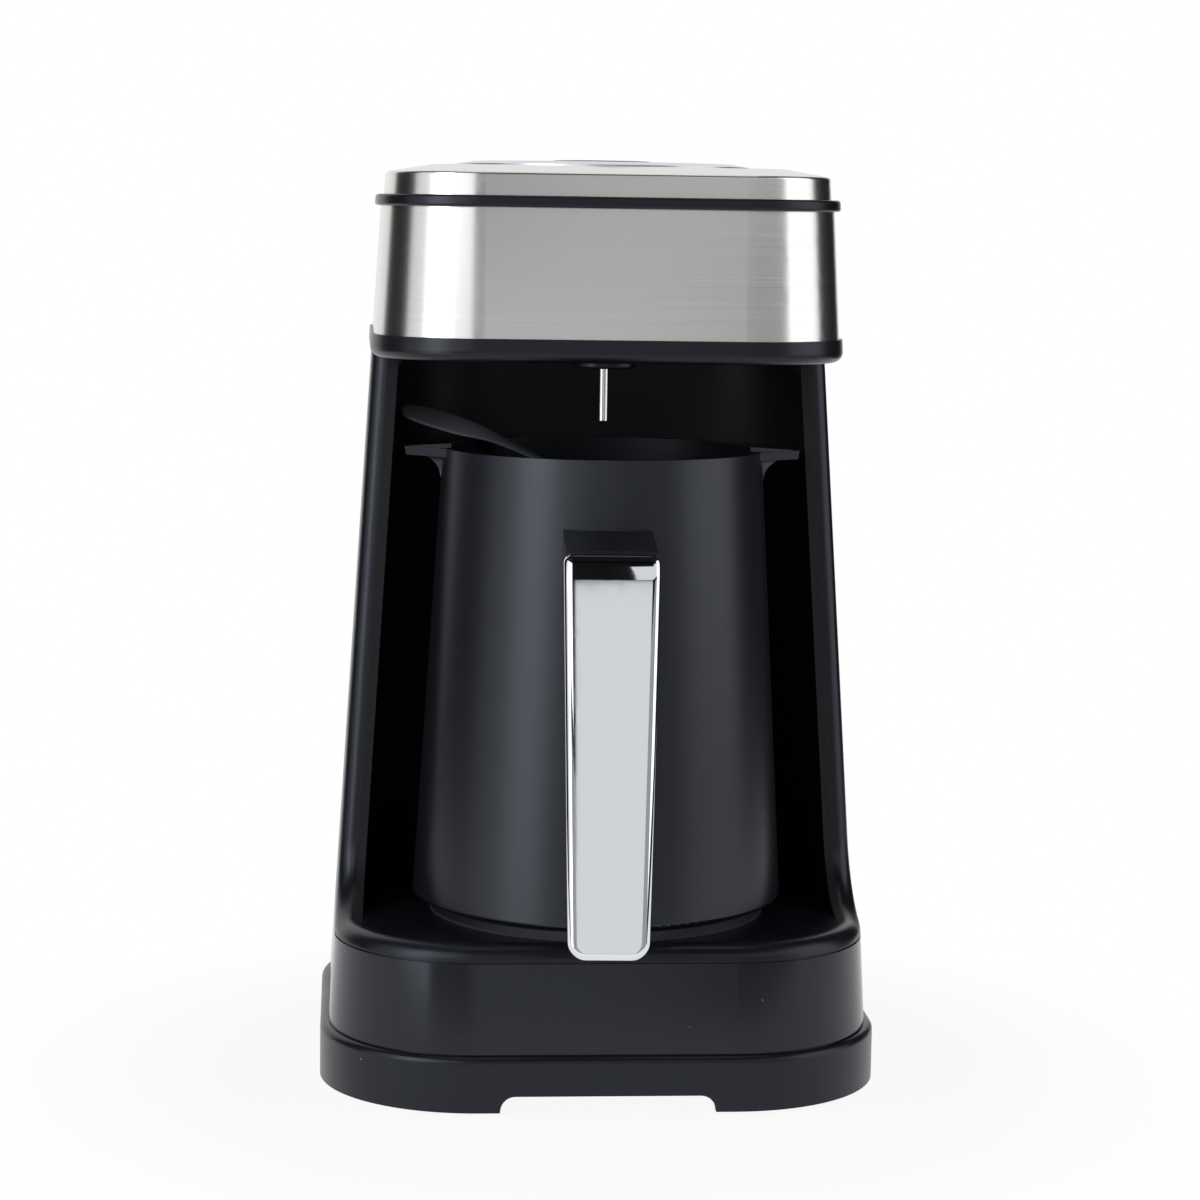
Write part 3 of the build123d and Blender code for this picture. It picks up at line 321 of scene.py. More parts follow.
def polished_metal(name, rgba, roughness, wave_mm, wave_depth_mm, **values):
    """Bright plated or polished metal. The part under the plating isn't quite flat, so reflections swim a little,
    and wiping leaves hairlines that dull it in places."""
    material, tree, shader, where = new_material(name, Metallic=1.0, **values)
    waves = add(tree, "ShaderNodeTexNoise", {"Vector": where}, {"Scale": per(wave_mm), "Detail": 1.0})
    wiped = add(tree, "ShaderNodeTexNoise", {"Vector": where}, {"Scale": per(6.0), "Detail": 6.0, "Roughness": 0.7})
    sheen = add(tree, "ShaderNodeMapRange", {"Value": wiped.outputs["Fac"]},
                {"From Min": 0.35, "From Max": 0.75, "To Min": roughness * 0.7, "To Max": roughness * 1.5})
    tint = add(tree, "ShaderNodeMix", {"Factor": wiped.outputs["Fac"]},
               {"A": shade(rgba, 0.97), "B": rgba}, data_type="RGBA")
    bump = add(tree, "ShaderNodeBump", {"Height": waves.outputs["Fac"]},
               {"Strength": 0.3, "Distance": wave_depth_mm * MM})
    join(tree, shader, tint.outputs["Result"], sheen, bump)
    return material


def turned_metal(name, rgba, roughness, ring_mm, depth_mm, centre, **values):
    """Stainless steel turned on a lathe. The tool leaves fine rings about the middle, drawn coarser than real so
    that they show, and the rings spread reflections from the middle outwards."""
    material, tree, shader, where = new_material(name, Metallic=1.0, **values)
    flat = add(tree, "ShaderNodeMapping", {"Vector": where},
               {"Location": (-centre[0], -centre[1], 0.0), "Scale": (1.0, 1.0, 0.0)})
    radius = add(tree, "ShaderNodeVectorMath", {0: flat.outputs["Vector"]}, operation="LENGTH")
    rings = add(tree, "ShaderNodeTexNoise", {"W": radius.outputs["Value"]},
                {"Scale": per(ring_mm), "Detail": 3.0}, noise_dimensions="1D")
    sheen = add(tree, "ShaderNodeMapRange", {"Value": rings.outputs["Fac"]},
                {"From Min": 0.3, "From Max": 0.7, "To Min": roughness * 0.85, "To Max": roughness * 1.15})
    tint = add(tree, "ShaderNodeMix", {"Factor": rings.outputs["Fac"]},
               {"A": shade(rgba, 0.93), "B": shade(rgba, 1.05)}, data_type="RGBA")
    bump = add(tree, "ShaderNodeBump", {"Height": rings.outputs["Fac"]},
               {"Strength": 0.4, "Distance": depth_mm * MM})
    join(tree, shader, tint.outputs["Result"], sheen, bump)
    return material


def coated_pot(name, rgba, roughness):
    """Sprayed and baked non-stick coating over a spun pot. The spinning leaves fine rings under the coat, which
    show as a faint satin, and the spray leaves a slight orange peel."""
    material, tree, shader, where = new_material(name, **{"Specular IOR Level": 0.5, "Specular Tint": COOL_SHEEN})
    rings = add(tree, "ShaderNodeMapping", {"Vector": where}, {"Scale": (per(40.0), per(40.0), per(0.5))})
    spun = add(tree, "ShaderNodeTexNoise", {"Vector": rings.outputs["Vector"]}, {"Scale": 1.0, "Detail": 3.0})
    peel = add(tree, "ShaderNodeTexNoise", {"Vector": where}, {"Scale": per(0.9), "Detail": 2.0})
    sheen = add(tree, "ShaderNodeMapRange", {"Value": spun.outputs["Fac"]},
                {"From Min": 0.3, "From Max": 0.7, "To Min": roughness * 0.97, "To Max": roughness * 1.03})
    tint = add(tree, "ShaderNodeMix", {"Factor": spun.outputs["Fac"]},
               {"A": shade(rgba, 0.94), "B": shade(rgba, 1.06)}, data_type="RGBA")
    fine = add(tree, "ShaderNodeBump", {"Height": peel.outputs["Fac"]}, {"Strength": 0.4, "Distance": 0.02 * MM})
    bump = add(tree, "ShaderNodeBump", {"Height": spun.outputs["Fac"], "Normal": fine.outputs["Normal"]},
               {"Strength": 0.2, "Distance": 0.003 * MM})
    join(tree, shader, tint.outputs["Result"], sheen, bump)
    return material


def clear_plastic(name, rgba):
    """Smoked acrylic, polished: clear enough to let a lamp through, with a faint haze from its mould."""
    material, tree, shader, where = new_material(name, **{"Transmission Weight": 0.35, "IOR": 1.49})
    haze = add(tree, "ShaderNodeTexNoise", {"Vector": where}, {"Scale": per(4.0), "Detail": 3.0})
    sheen = add(tree, "ShaderNodeMapRange", {"Value": haze.outputs["Fac"]}, {"To Min": 0.1, "To Max": 0.22})
    tint = add(tree, "ShaderNodeMix", {"Factor": haze.outputs["Fac"]},
               {"A": shade(rgba, 0.9), "B": rgba}, data_type="RGBA")
    join(tree, shader, tint.outputs["Result"], sheen)
    return material


def dress(slot, material):
    """Gives every CAD node of a material slot that material."""
    for row in frame["record"]["subparts"]:
        if row["material_slot"] == slot:
            dress_node(row["node"], material)


def dress_node(node, material):
    """Gives one CAD node a material of its own."""
    for place in frame["nodes"][node].material_slots:
        place.material = material


def start_clean():
    """Leaves edit mode and deselects everything."""
    if bpy.context.object and bpy.context.object.mode != "OBJECT":
        bpy.ops.object.mode_set(mode="OBJECT")
    bpy.ops.object.select_all(action="DESELECT")


def pick(mode, test):
    """In edit mode, selects the vertices, edges or faces that pass a test."""
    bpy.ops.mesh.select_mode(type=mode)
    bpy.ops.mesh.select_all(action="DESELECT")
    mesh = bmesh.from_edit_mesh(bpy.context.object.data)
    for item in list({"VERT": mesh.verts, "EDGE": mesh.edges, "FACE": mesh.faces}[mode]):
        if test(item):
            item.select_set(True)
    bmesh.update_edit_mesh(bpy.context.object.data)


def draw(points):
    """Starts a piece in edit mode as one vertex and draws its outline from point to point."""
    start_clean()
    bpy.ops.mesh.primitive_plane_add(size=MM)
    bpy.ops.object.mode_set(mode="EDIT")
    bpy.ops.mesh.select_mode(type="VERT")
    bpy.ops.mesh.select_all(action="SELECT")
    bpy.ops.mesh.merge(type="CENTER")
    bpy.ops.transform.translate(value=points[0])
    for before, now in zip(points, points[1:]):
        bpy.ops.mesh.extrude_region_move(TRANSFORM_OT_translate={"value": Vector(now) - Vector(before)})
    bpy.ops.mesh.select_all(action="SELECT")
    return bpy.context.object


def modify(piece, kind, **settings):
    """Adds a modifier and applies it."""
    bpy.context.view_layer.objects.active = piece
    made = piece.modifiers.new(kind.lower(), kind)
    for name, value in settings.items():
        setattr(made, name, value)
    bpy.ops.object.modifier_apply(modifier=made.name)


def place(piece, matrix):
    """Moves a piece modelled at the origin to its place, and puts the place in its mesh."""
    start_clean()
    piece.matrix_world = matrix
    piece.select_set(True)
    bpy.context.view_layer.objects.active = piece
    bpy.ops.object.transform_apply(location=True, rotation=True, scale=True)


def hand_over(piece, name, body, material, replaced=(), sharp=math.radians(40)):
    """Names a finished piece, smooths it, ties it to its body and hides the nodes that it stands for."""
    start_clean()
    piece.name = name
    piece.data.name = name
    piece.select_set(True)
    bpy.context.view_layer.objects.active = piece
    bpy.ops.object.shade_smooth_by_angle(angle=sharp)
    piece.data.materials.clear()
    piece.data.materials.append(material)
    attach(piece, body)
    if replaced:
        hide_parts(*replaced)


def pot_matrix(turn):
    """From the pot's own frame, its origin in the middle of its base, to the machine's."""
    low, high = (Vector(v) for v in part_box("pot_base"))
    middle = (low + high) / 2
    return Matrix.Translation((middle.x, middle.y, low.z)) @ Matrix.Rotation(turn, 4, "Z")


class COFFEE_OT_finish_body(bpy.types.Operator):
    """Finish the outer plastic and steel pieces"""

    bl_idname = "coffee.finish_body"
    bl_label = "Finish the body"

    def execute(self, context):
        look = context.scene.coffee_body
        dull = {"Specular IOR Level": 0.34, "Specular Tint": COOL_SHEEN}
        glossy = {"Specular IOR Level": 0.42, "Specular Tint": COOL_SHEEN}
        dress("satin_black_plastic", moulded_plastic("ABS moulded satin black", look.satin_black, 0.31, 0.6, 0.01,
                                                     dust=0.9, **dull))
        dress_node("nook_liner", moulded_plastic("ABS moulded matt black", look.nook_black, 0.48, 0.6, 0.015,
                                                 **{"Specular IOR Level": 0.25}))
        dress("gloss_black_plastic", moulded_plastic("ABS polished black", look.gloss_black, 0.16, 9.0, 0.004,
                                                     dust=1.0, **glossy))
        dress("trim_black_plastic", moulded_plastic("ABS moulded trim black", look.trim_black, 0.30, 0.6, 0.01, **dull))
        dress("button_plastic", moulded_plastic("ABS moulded button black", look.trim_black, 0.32, 0.5, 0.01, **dull))
        dress("brushed_stainless", brushed_metal("Stainless steel brushed", look.steel, 0.25, 90.0, 0.22, 0.00014,
                                                 **{"Anisotropic": 0.45, "Anisotropic Rotation": 0.25}))
        low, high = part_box("control_disc")
        middle = [(a + b) / 2 for a, b in zip(low, high)]
        dress("control_disc_steel", turned_metal("Stainless steel turned", look.disc_steel, 0.28, 0.4, 0.003, middle))
        dress("probe_steel", polished_metal("Stainless steel drawn", look.probe_steel, 0.16, 3.0, 0.002))
        dress("silicone_rubber", moulded_plastic("Silicone rubber moulded", look.rubber, 0.7, 0.8, 0.03))
        dress("button_lens_plastic", clear_plastic("Acrylic smoked", look.lens))
        return {"FINISHED"}


class COFFEE_OT_finish_pot(bpy.types.Operator):
    """Finish the pot and its handle"""

    bl_idname = "coffee.finish_pot"
    bl_label = "Finish the pot"

    def execute(self, context):
        look = context.scene.coffee_pot
        dress("pot_coating", coated_pot("Non-stick coating sprayed black", look.coating, 0.34))
        # Painted shade: the pot's base is coloured near-black to match the dark gap under the pot's foot.
        dress("pot_base_metal", coated_pot("Non-stick coating on turned aluminium", look.base, 0.5))
        dress("handle_plastic", moulded_plastic("Nylon moulded black", look.grip, 0.34, 0.6, 0.012,
                                                **{"Specular IOR Level": 0.36}))
        dress("handle_chrome", polished_metal("Chrome plate", look.chrome, 0.045, 18.0, 0.01))
        dress("spoon_plastic", moulded_plastic("Polypropylene moulded black", look.spoon, 0.28, 0.7, 0.01,
                                               **{"Specular IOR Level": 0.6}))
        return {"FINISHED"}


class COFFEE_OT_finish_insides(bpy.types.Operator):
    """Finish the pieces inside the machine"""

    bl_idname = "coffee.finish_insides"
    bl_label = "Finish the insides"

    # Slot, kind of finish, material, colour, roughness, and the spacing and depth of its grain in millimetres. A
    # casting's grain is the same every way, so its lines are as long as they are wide.
    FINISHES = (
        ("cast_aluminium", brushed_metal, "Aluminium cast", "aluminium", 0.42, 0.8, 0.8, 0.02),
        ("screw_steel", polished_metal, "Zinc plate", "zinc", 0.25, 2.0, 0.01),
        ("plated_steel", polished_metal, "Zinc plate pressed", "zinc", 0.32, 5.0, 0.01),
        ("inner_plastic", moulded_plastic, "Polypropylene moulded grey", "plastic", 0.5, 0.8, 0.02),
        ("circuit_board", moulded_plastic, "Glass-fibre board", "board", 0.35, 0.9, 0.015),
        ("component_plastic", moulded_plastic, "Epoxy moulded", "component", 0.5, 0.5, 0.02),
        ("connector_plastic", moulded_plastic, "Nylon natural", "connector", 0.45, 0.6, 0.015),
        ("led_resin", clear_plastic, "Epoxy resin clear", "connector"),
        ("wire_insulation", moulded_plastic, "Silicone sleeve extruded", "wire", 0.5, 0.7, 0.01),
        ("harness_sleeve", moulded_plastic, "Polyester sleeve braided", "sleeve", 0.6, 1.2, 0.15),
        ("thermostat_phenolic", moulded_plastic, "Phenolic resin pressed", "phenolic", 0.4, 0.7, 0.02),
        ("transformer_core", moulded_plastic, "Steel laminations varnished", "core", 0.35, 0.5, 0.05),
        ("capacitor_can", polished_metal, "Aluminium can sleeved", "aluminium", 0.3, 5.0, 0.01),
    )

    def execute(self, context):
        look = context.scene.coffee_inside
        for slot, finish, name, tone, *sizes in self.FINISHES:
            dress(slot, finish(name, getattr(look, tone), *sizes))
        # Painted shade: the hot plate is coloured near-black to match the dark gap under the pot's foot.
        dark = context.scene.coffee_pot.base
        dress_node("hot_plate", coated_pot("Non-stick coating on cast aluminium", dark, 0.55))
        return {"FINISHED"}


class COFFEE_OT_handle_cover(bpy.types.Operator):
    """Model the chrome cover of the handle: a plated shell with round edges whose top rolls back to the pot"""

    bl_idname = "coffee.handle_cover"
    bl_label = "Handle cover"

    def execute(self, context):
        size = context.scene.coffee_handle
        cover = self.front(size)
        rolled = self.rolled(size)
        modify(cover, "BOOLEAN", operation="INTERSECT", object=rolled, solver="EXACT")
        bpy.data.objects.remove(rolled)
        start_clean()
        cover.select_set(True)
        context.view_layer.objects.active = cover
        bpy.ops.object.mode_set(mode="EDIT")
        pick("EDGE", self.on_rim)
        bpy.ops.mesh.bevel(offset=size.edge, segments=8, affect="EDGES")
        pick("FACE", lambda f: f.normal.z < -0.99)
        bpy.ops.mesh.inset(thickness=size.wall, depth=-size.hollow)
        bpy.ops.object.mode_set(mode="OBJECT")
        lean = size.lean
        plane = Matrix(((1, 0, 0, 0),
                        (0, math.sin(lean), -math.cos(lean), -size.standoff),
                        (0, math.cos(lean), math.sin(lean), size.top_height),
                        (0, 0, 0, 1)))
        place(cover, pot_matrix(size.turn) @ plane)
        chrome = bpy.data.materials["Chrome plate"]
        hand_over(cover, "handle_cover_chrome", "pot", chrome, ["handle_cover"])
        return {"FINISHED"}

    def front(self, size):
        """The cover seen from the front: a tapered slab with rounded corners."""
        near = 0.01 * MM
        half, foot = size.top_width / 2, size.foot_width / 2
        slab = draw([(-half, 0, 0), (half, 0, 0), (foot, -size.length, 0), (-foot, -size.length, 0)])
        bpy.ops.mesh.edge_face_add()
        bpy.ops.mesh.extrude_region_move(TRANSFORM_OT_translate={"value": (0, 0, -size.depth)})
        bpy.ops.mesh.select_all(action="SELECT")
        bpy.ops.mesh.normals_make_consistent(inside=False)
        for top, radius in ((True, size.top_corner), (False, size.foot_corner)):
            pick("EDGE", lambda e: abs(e.verts[0].co.z - e.verts[1].co.z) > near
                 and all((v.co.y > -size.length / 2) == top for v in e.verts))
            bpy.ops.mesh.bevel(offset=radius, segments=8, affect="EDGES")
        bpy.ops.object.mode_set(mode="OBJECT")
        return slab

    def rolled(self, size):
        """The cover seen from the side, wider than it is: a flat front whose top rolls back."""
        radius = size.roll_radius
        sweep = math.asin(size.roll_reach / radius)
        turns = [sweep * i / 8 for i in range(9)]
        left, below = -size.top_width, -size.length - size.depth
        side = [(left, below, -2 * size.depth), (left, below, 0)]
        side += [(left, radius * math.sin(t) - size.roll_reach, radius * math.cos(t) - radius) for t in turns]
        side += [(left, size.depth, side[-1][2] - size.depth * math.tan(sweep)), (left, size.depth, -2 * size.depth)]
        bar = draw(side)
        bpy.ops.mesh.edge_face_add()
        bpy.ops.mesh.extrude_region_move(TRANSFORM_OT_translate={"value": (2 * size.top_width, 0, 0)})
        bpy.ops.mesh.select_all(action="SELECT")
        bpy.ops.mesh.normals_make_consistent(inside=False)
        bpy.ops.object.mode_set(mode="OBJECT")
        return bar

    def on_rim(self, edge):
        """Whether an edge lies between the front, its roll included, and the sides."""
        if len(edge.link_faces) != 2:
            return False
        heights = sorted(f.normal.z for f in edge.link_faces)
        return abs(heights[0]) < 0.3 and heights[1] > 0.5


class COFFEE_OT_spoon(bpy.types.Operator):
    """Model the measuring spoon: a leaf-shaped blade turned towards the front, and a round bowl"""

    bl_idname = "coffee.spoon"
    bl_label = "Measuring spoon"

    # Stations along the blade, in millimetres: place along the spoon, height over the pot's rim, width,
    # thickness, and the share of the blade's roll
    STATIONS = ((-60.2, 8.8, 2.0, 0.8, 1.0), (-59.8, 8.75, 4.4, 1.5, 1.0), (-58.5, 8.4, 5.8, 2.0, 1.0),
                (-54.0, 7.3, 7.2, 2.2, 1.0), (-47.0, 5.5, 8.0, 2.2, 0.95), (-41.0, 3.8, 8.2, 2.2, 0.85),
                (-35.0, 2.2, 7.6, 2.1, 0.6), (-28.0, -0.9, 7.0, 2.0, 0.3), (-15.0, -7.4, 6.6, 2.0, 0.0),
                (0.0, -14.3, 6.6, 2.0, 0.0), (10.0, -18.6, 7.2, 2.0, 0.0), (13.2, -19.9, 7.4, 1.6, 0.0))
    BOWL_OVER_BLADE = 0.9

    def execute(self, context):
        size = context.scene.coffee_spoon
        start_clean()
        bpy.ops.mesh.primitive_circle_add(vertices=12, radius=0.5, fill_type="NGON")
        blade = context.object
        first = self.STATIONS[0]
        blade.rotation_euler = (0, math.radians(90), 0)
        bpy.ops.object.transform_apply(rotation=True)
        bpy.ops.object.mode_set(mode="EDIT")
        bpy.ops.mesh.select_all(action="SELECT")
        bpy.ops.transform.resize(value=(1, first[2] * MM, first[3] * MM))
        bpy.ops.transform.translate(value=(first[0] * MM, size.offset, size.rim_height + first[1] * MM))
        self.turn(first, first[4] * size.roll, size)
        for before, now in zip(self.STATIONS, self.STATIONS[1:]):
            bpy.ops.mesh.extrude_region_move(TRANSFORM_OT_translate={
                "value": ((now[0] - before[0]) * MM, 0, (now[1] - before[1]) * MM)})
            self.turn(now, -before[4] * size.roll, size)
            bpy.ops.transform.resize(value=(1, now[2] / before[2], now[3] / before[3]))
            self.turn(now, now[4] * size.roll, size)
        bpy.ops.mesh.select_all(action="SELECT")
        bpy.ops.mesh.normals_make_consistent(inside=False)
        bpy.ops.object.mode_set(mode="OBJECT")
        modify(blade, "SUBSURF", levels=2, render_levels=2)
        bowl = self.bowl(size)
        modify(blade, "BOOLEAN", operation="UNION", object=bowl, solver="EXACT")
        bpy.data.objects.remove(bowl)
        place(blade, pot_matrix(context.scene.coffee_handle.turn))
        black = bpy.data.materials["Polypropylene moulded black"]
        hand_over(blade, "spoon", "spoon", black, ["measuring_spoon"])
        return {"FINISHED"}

    def turn(self, station, roll, size):
        """Turns the selected section about the spoon's long axis, its face towards the front; with no window the
        operator turns the other way."""
        if roll:
            centre = (station[0] * MM, size.offset, size.rim_height + station[1] * MM)
            bpy.ops.transform.rotate(value=-roll, orient_axis="X", center_override=centre)

    def bowl(self, size):
        """The lower half of a hollow ball."""
        height = size.rim_height + (self.STATIONS[-1][1] + self.BOWL_OVER_BLADE) * MM
        start_clean()
        bpy.ops.mesh.primitive_uv_sphere_add(segments=48, ring_count=32, radius=size.bowl_radius,
                                             location=(size.bowl_x, size.offset, height))
        ball = bpy.context.object
        bpy.ops.object.transform_apply(location=True, rotation=True, scale=True)
        bpy.ops.object.mode_set(mode="EDIT")
        bpy.ops.mesh.select_all(action="SELECT")
        bpy.ops.mesh.bisect(plane_co=(0, 0, height), plane_no=(0, 0, 1), clear_outer=True)
        bpy.ops.object.mode_set(mode="OBJECT")
        modify(ball, "SOLIDIFY", thickness=size.bowl_wall, offset=-1.0)
        return ball


class COFFEE_OT_start_button(bpy.types.Operator):
    """Model the start button: a turned cap with a round edge, dished towards its lens"""

    bl_idname = "coffee.start_button"
    bl_label = "Start button"

    def execute(self, context):
        size = context.scene.coffee_button
        low, high = (Vector(v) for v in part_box("start_button"))
        top = high.z - low.z
        flange_top = top - size.skirt
        seat = top - size.dish - size.lens_depth
        turns = [math.radians(90) * i / 5 for i in range(6)]
        under = flange_top - size.flange
        half = [(0, 0), (size.stem_radius, 0), (size.stem_radius, under + size.dome_room),
                (size.dome_radius, under + size.dome_room), (size.dome_radius, under),
                (size.flange_radius, under), (size.flange_radius, flange_top), (size.radius, flange_top)]
        half += [(size.radius - size.edge * (1 - math.cos(t)), top - size.edge * (1 - math.sin(t))) for t in turns]
        half += [(size.lens_seat + size.dish, top - size.dish / 2), (size.lens_seat, top - size.dish),
                 (size.lens_seat, seat), (0, seat)]
        button = draw([(r, 0, z) for r, z in half])
        bpy.ops.mesh.spin(steps=96, angle=math.radians(360), center=(0, 0, 0), axis=(0, 0, 1))
        bpy.ops.mesh.select_all(action="SELECT")
        bpy.ops.mesh.remove_doubles(threshold=0.001 * MM)
        bpy.ops.mesh.normals_make_consistent(inside=False)
        bpy.ops.object.mode_set(mode="OBJECT")
        middle = (low + high) / 2
        place(button, Matrix.Translation((middle.x, middle.y, low.z)))
        black = bpy.data.materials["ABS moulded button black"]
        hand_over(button, "start_button_cap", "button", black, ["start_button"])
        return {"FINISHED"}


class COFFEE_OT_cover_screws(bpy.types.Operator):
    """Model one pan-head screw with a cross in its head, and copy it to the rear cover's four screws"""

    bl_idname = "coffee.cover_screws"
    bl_label = "Rear cover screws"

    TIP_SHARE = 0.1  # of the shank's length

    def execute(self, context):
        size = context.scene.coffee_screws
        low, high = (Vector(v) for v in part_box("rear_cover_screws"))
        start_clean()
        bpy.ops.mesh.primitive_cylinder_add(vertices=40, radius=size.head_radius, depth=size.head_height,
                                            location=(0, 0, -size.head_height / 2))
        first = context.object
        bpy.ops.object.transform_apply(location=True, rotation=True, scale=True)
        bpy.ops.object.mode_set(mode="EDIT")
        pick("FACE", lambda f: f.normal.z < -0.9)
        bpy.ops.mesh.inset(thickness=size.head_radius - size.shank_radius)
        for share in (1 - self.TIP_SHARE, self.TIP_SHARE):
            bpy.ops.mesh.extrude_region_move(TRANSFORM_OT_translate={"value": (0, 0, -size.shank_length * share)})
        bpy.ops.transform.resize(value=(0.5, 0.5, 1))
        pick("EDGE", lambda e: all(v.co.z > -0.01 * MM for v in e.verts))
        bpy.ops.mesh.bevel(offset=size.head_edge, segments=4, affect="EDGES")
        bpy.ops.object.mode_set(mode="OBJECT")
        for width, reach in ((size.cross_width, size.cross_length), (size.cross_length, size.cross_width)):
            slot = self.slot(size, width, reach)
            modify(first, "BOOLEAN", operation="DIFFERENCE", object=slot, solver="EXACT")
            bpy.data.objects.remove(slot)
        zinc = bpy.data.materials["Zinc plate"]
        rows = (("low", low.z + size.head_radius, high.y),
                ("high", high.z - size.head_radius,
                 high.y - size.back_slope * (high.z - low.z - 2 * size.head_radius)))
        for row, z, y in rows:
            for side, x in (("left", low.x + size.head_radius), ("right", high.x - size.head_radius)):
                screw = first.copy()
                screw.data = first.data.copy()
                context.scene.collection.objects.link(screw)
                place(screw, Matrix.Translation((x, y, z)) @ Matrix.Rotation(math.radians(-90), 4, "X"))
                hand_over(screw, f"cover_screw_{row}_{side}", "machine", zinc, ["rear_cover_screws"])
        bpy.data.objects.remove(first)
        return {"FINISHED"}

    def slot(self, size, width, reach):
        """One slot of the cross, as a wedge that narrows downwards."""
        start_clean()
        bpy.ops.mesh.primitive_cube_add(size=1.0)
        wedge = bpy.context.object
        wedge.scale = (width, reach, 2 * size.cross_depth)
        bpy.ops.object.transform_apply(location=True, rotation=True, scale=True)
        bpy.ops.object.mode_set(mode="EDIT")
        pick("FACE", lambda f: f.normal.z < -0.9)
        bpy.ops.transform.resize(value=(0.7, 0.7, 1))
        bpy.ops.object.mode_set(mode="OBJECT")
        return wedge


class COFFEE_OT_stage(bpy.types.Operator):
    """Set up the floor, the dark tent, the softboxes and the camera"""

    bl_idname = "coffee.stage"
    bl_label = "Stage"

    # Softboxes: name, degrees round from the front to the right, distance, width, foot and top in metres, and the
    # property that holds its radiance. Where two overlap, their light adds up, so the cards meet edge to edge.
    BOXES = (("left_softbox", -36.0, 1.40, 1.30, 0.26, 1.45, "left_light"),
             ("left_softbox_core", -51.0, 1.38, 0.61, -0.40, 1.40, "core_light"),
             ("left_card", -76.0, 1.40, 0.62, -0.10, 1.30, "side_light"),
             ("right_softbox", 76.5, 1.40, 1.10, -0.05, 1.50, "right_light"),
             ("front_card", 0.5, 1.90, 0.433, -0.42, 0.46, "front_light"),
             ("left_card_low", -22.0, 1.90, 1.09, -0.42, 0.26, "low_light"),
             ("right_card_high", 32.3, 1.90, 2.06, 0.53, 1.60, "front_light"),
             ("right_card_low", 33.5, 1.92, 1.915, -0.42, 0.40, "low_light"))
    # In metres: the floor, its middle's distance to the back, and where its shadow starts to fade and is gone; then
    # the tent's foot, the hem of its wall, and how far its roof rises and draws in
    FLOOR_WIDTH, FLOOR_DEPTH, FLOOR_BACK = 0.9, 1.3, 0.4
    FADE_FROM, FADE_TO, FADE_START = 0.11, 0.2, 0.92
    TENT_FOOT, TENT_HEM, ROOF_RISE, ROOF_SHARE = -0.6, 2.6, 0.4, 0.35

    def execute(self, context):
        size = context.scene.coffee_stage
        for name in ("Cube", "Light", "Camera"):
            if name in bpy.data.objects:
                bpy.data.objects.remove(bpy.data.objects[name])
        self.floor(size)
        self.tent(size)
        self.world(context, size)
        for name, round_deg, distance, width, foot, top, level in self.BOXES:
            data = bpy.data.lights.new(name, "AREA")
            data.shape = "RECTANGLE"
            data.color = linear("FBFCFF")[:3]
            data.size = width
            data.size_y = top - foot
            data.energy = getattr(size, level) * math.pi * width * (top - foot)
            lamp = bpy.data.objects.new(name, data)
            context.scene.collection.objects.link(lamp)
            turn = math.radians(round_deg)
            out = Vector((math.sin(turn), -math.cos(turn), 0))
            lamp.location = out * distance + Vector((0, 0, (top + foot) / 2))
            lamp.rotation_euler = (-out).to_track_quat("-Z", "Y").to_euler()
            lamp.visible_camera = False
        self.camera(context, size)
        context.scene.view_settings.view_transform = "Standard"
        return {"FINISHED"}

    def lit(self, tree, dark, bright):
        """Mixes a shader with plain white for the rays that see the background straight or in metal and glass."""
        path = add(tree, "ShaderNodeLightPath")
        seen = add(tree, "ShaderNodeMath", {0: path.outputs["Is Camera Ray"], 1: path.outputs["Is Glossy Ray"]},
                   operation="MAXIMUM")
        seen = add(tree, "ShaderNodeMath", {0: seen.outputs[0], 1: path.outputs["Is Transmission Ray"]},
                   operation="MAXIMUM")
        return add(tree, "ShaderNodeMixShader", {"Fac": seen.outputs[0], 1: dark, 2: bright}).outputs["Shader"]

    def floor(self, size):
        """A white table top. It keeps the machine's shadow close by and fades into the white background."""
        start_clean()
        bpy.ops.mesh.primitive_plane_add(size=1.0)
        table = bpy.context.object
        table.scale = (self.FLOOR_WIDTH, self.FLOOR_DEPTH, 1.0)
        table.location = (0, self.FLOOR_BACK, 0)
        bpy.ops.object.transform_apply(location=True, rotation=True, scale=True)
        table.name = "floor"
        paper = bpy.data.materials.new("Paper white")
        paper.use_nodes = True
        tree = paper.node_tree
        tree.nodes.clear()
        where = add(tree, "ShaderNodeTexCoord").outputs["Object"]
        grain = add(tree, "ShaderNodeTexNoise", {"Vector": where}, {"Scale": per(3.0), "Detail": 3.0})
        tint = add(tree, "ShaderNodeMix", {"Factor": grain.outputs["Fac"]},
                   {"A": shade(size.backdrop, 0.99), "B": size.backdrop}, data_type="RGBA")
        matt = add(tree, "ShaderNodeBsdfDiffuse", {"Color": tint.outputs["Result"]}).outputs["BSDF"]
        glow = add(tree, "ShaderNodeEmission", values={"Color": (1, 1, 1, 1), "Strength": 1.0}).outputs["Emission"]
        away = add(tree, "ShaderNodeVectorMath", {0: where}, operation="LENGTH")
        share = add(tree, "ShaderNodeMapRange", {"Value": away.outputs["Value"]},
                    {"From Min": self.FADE_FROM, "From Max": self.FADE_TO, "To Min": self.FADE_START, "To Max": 1.0})
        bright = add(tree, "ShaderNodeMixShader", {"Fac": share.outputs["Result"], 1: matt, 2: glow}).outputs["Shader"]
        add(tree, "ShaderNodeOutputMaterial", {"Surface": self.lit(tree, matt, bright)})
        table.data.materials.append(paper)

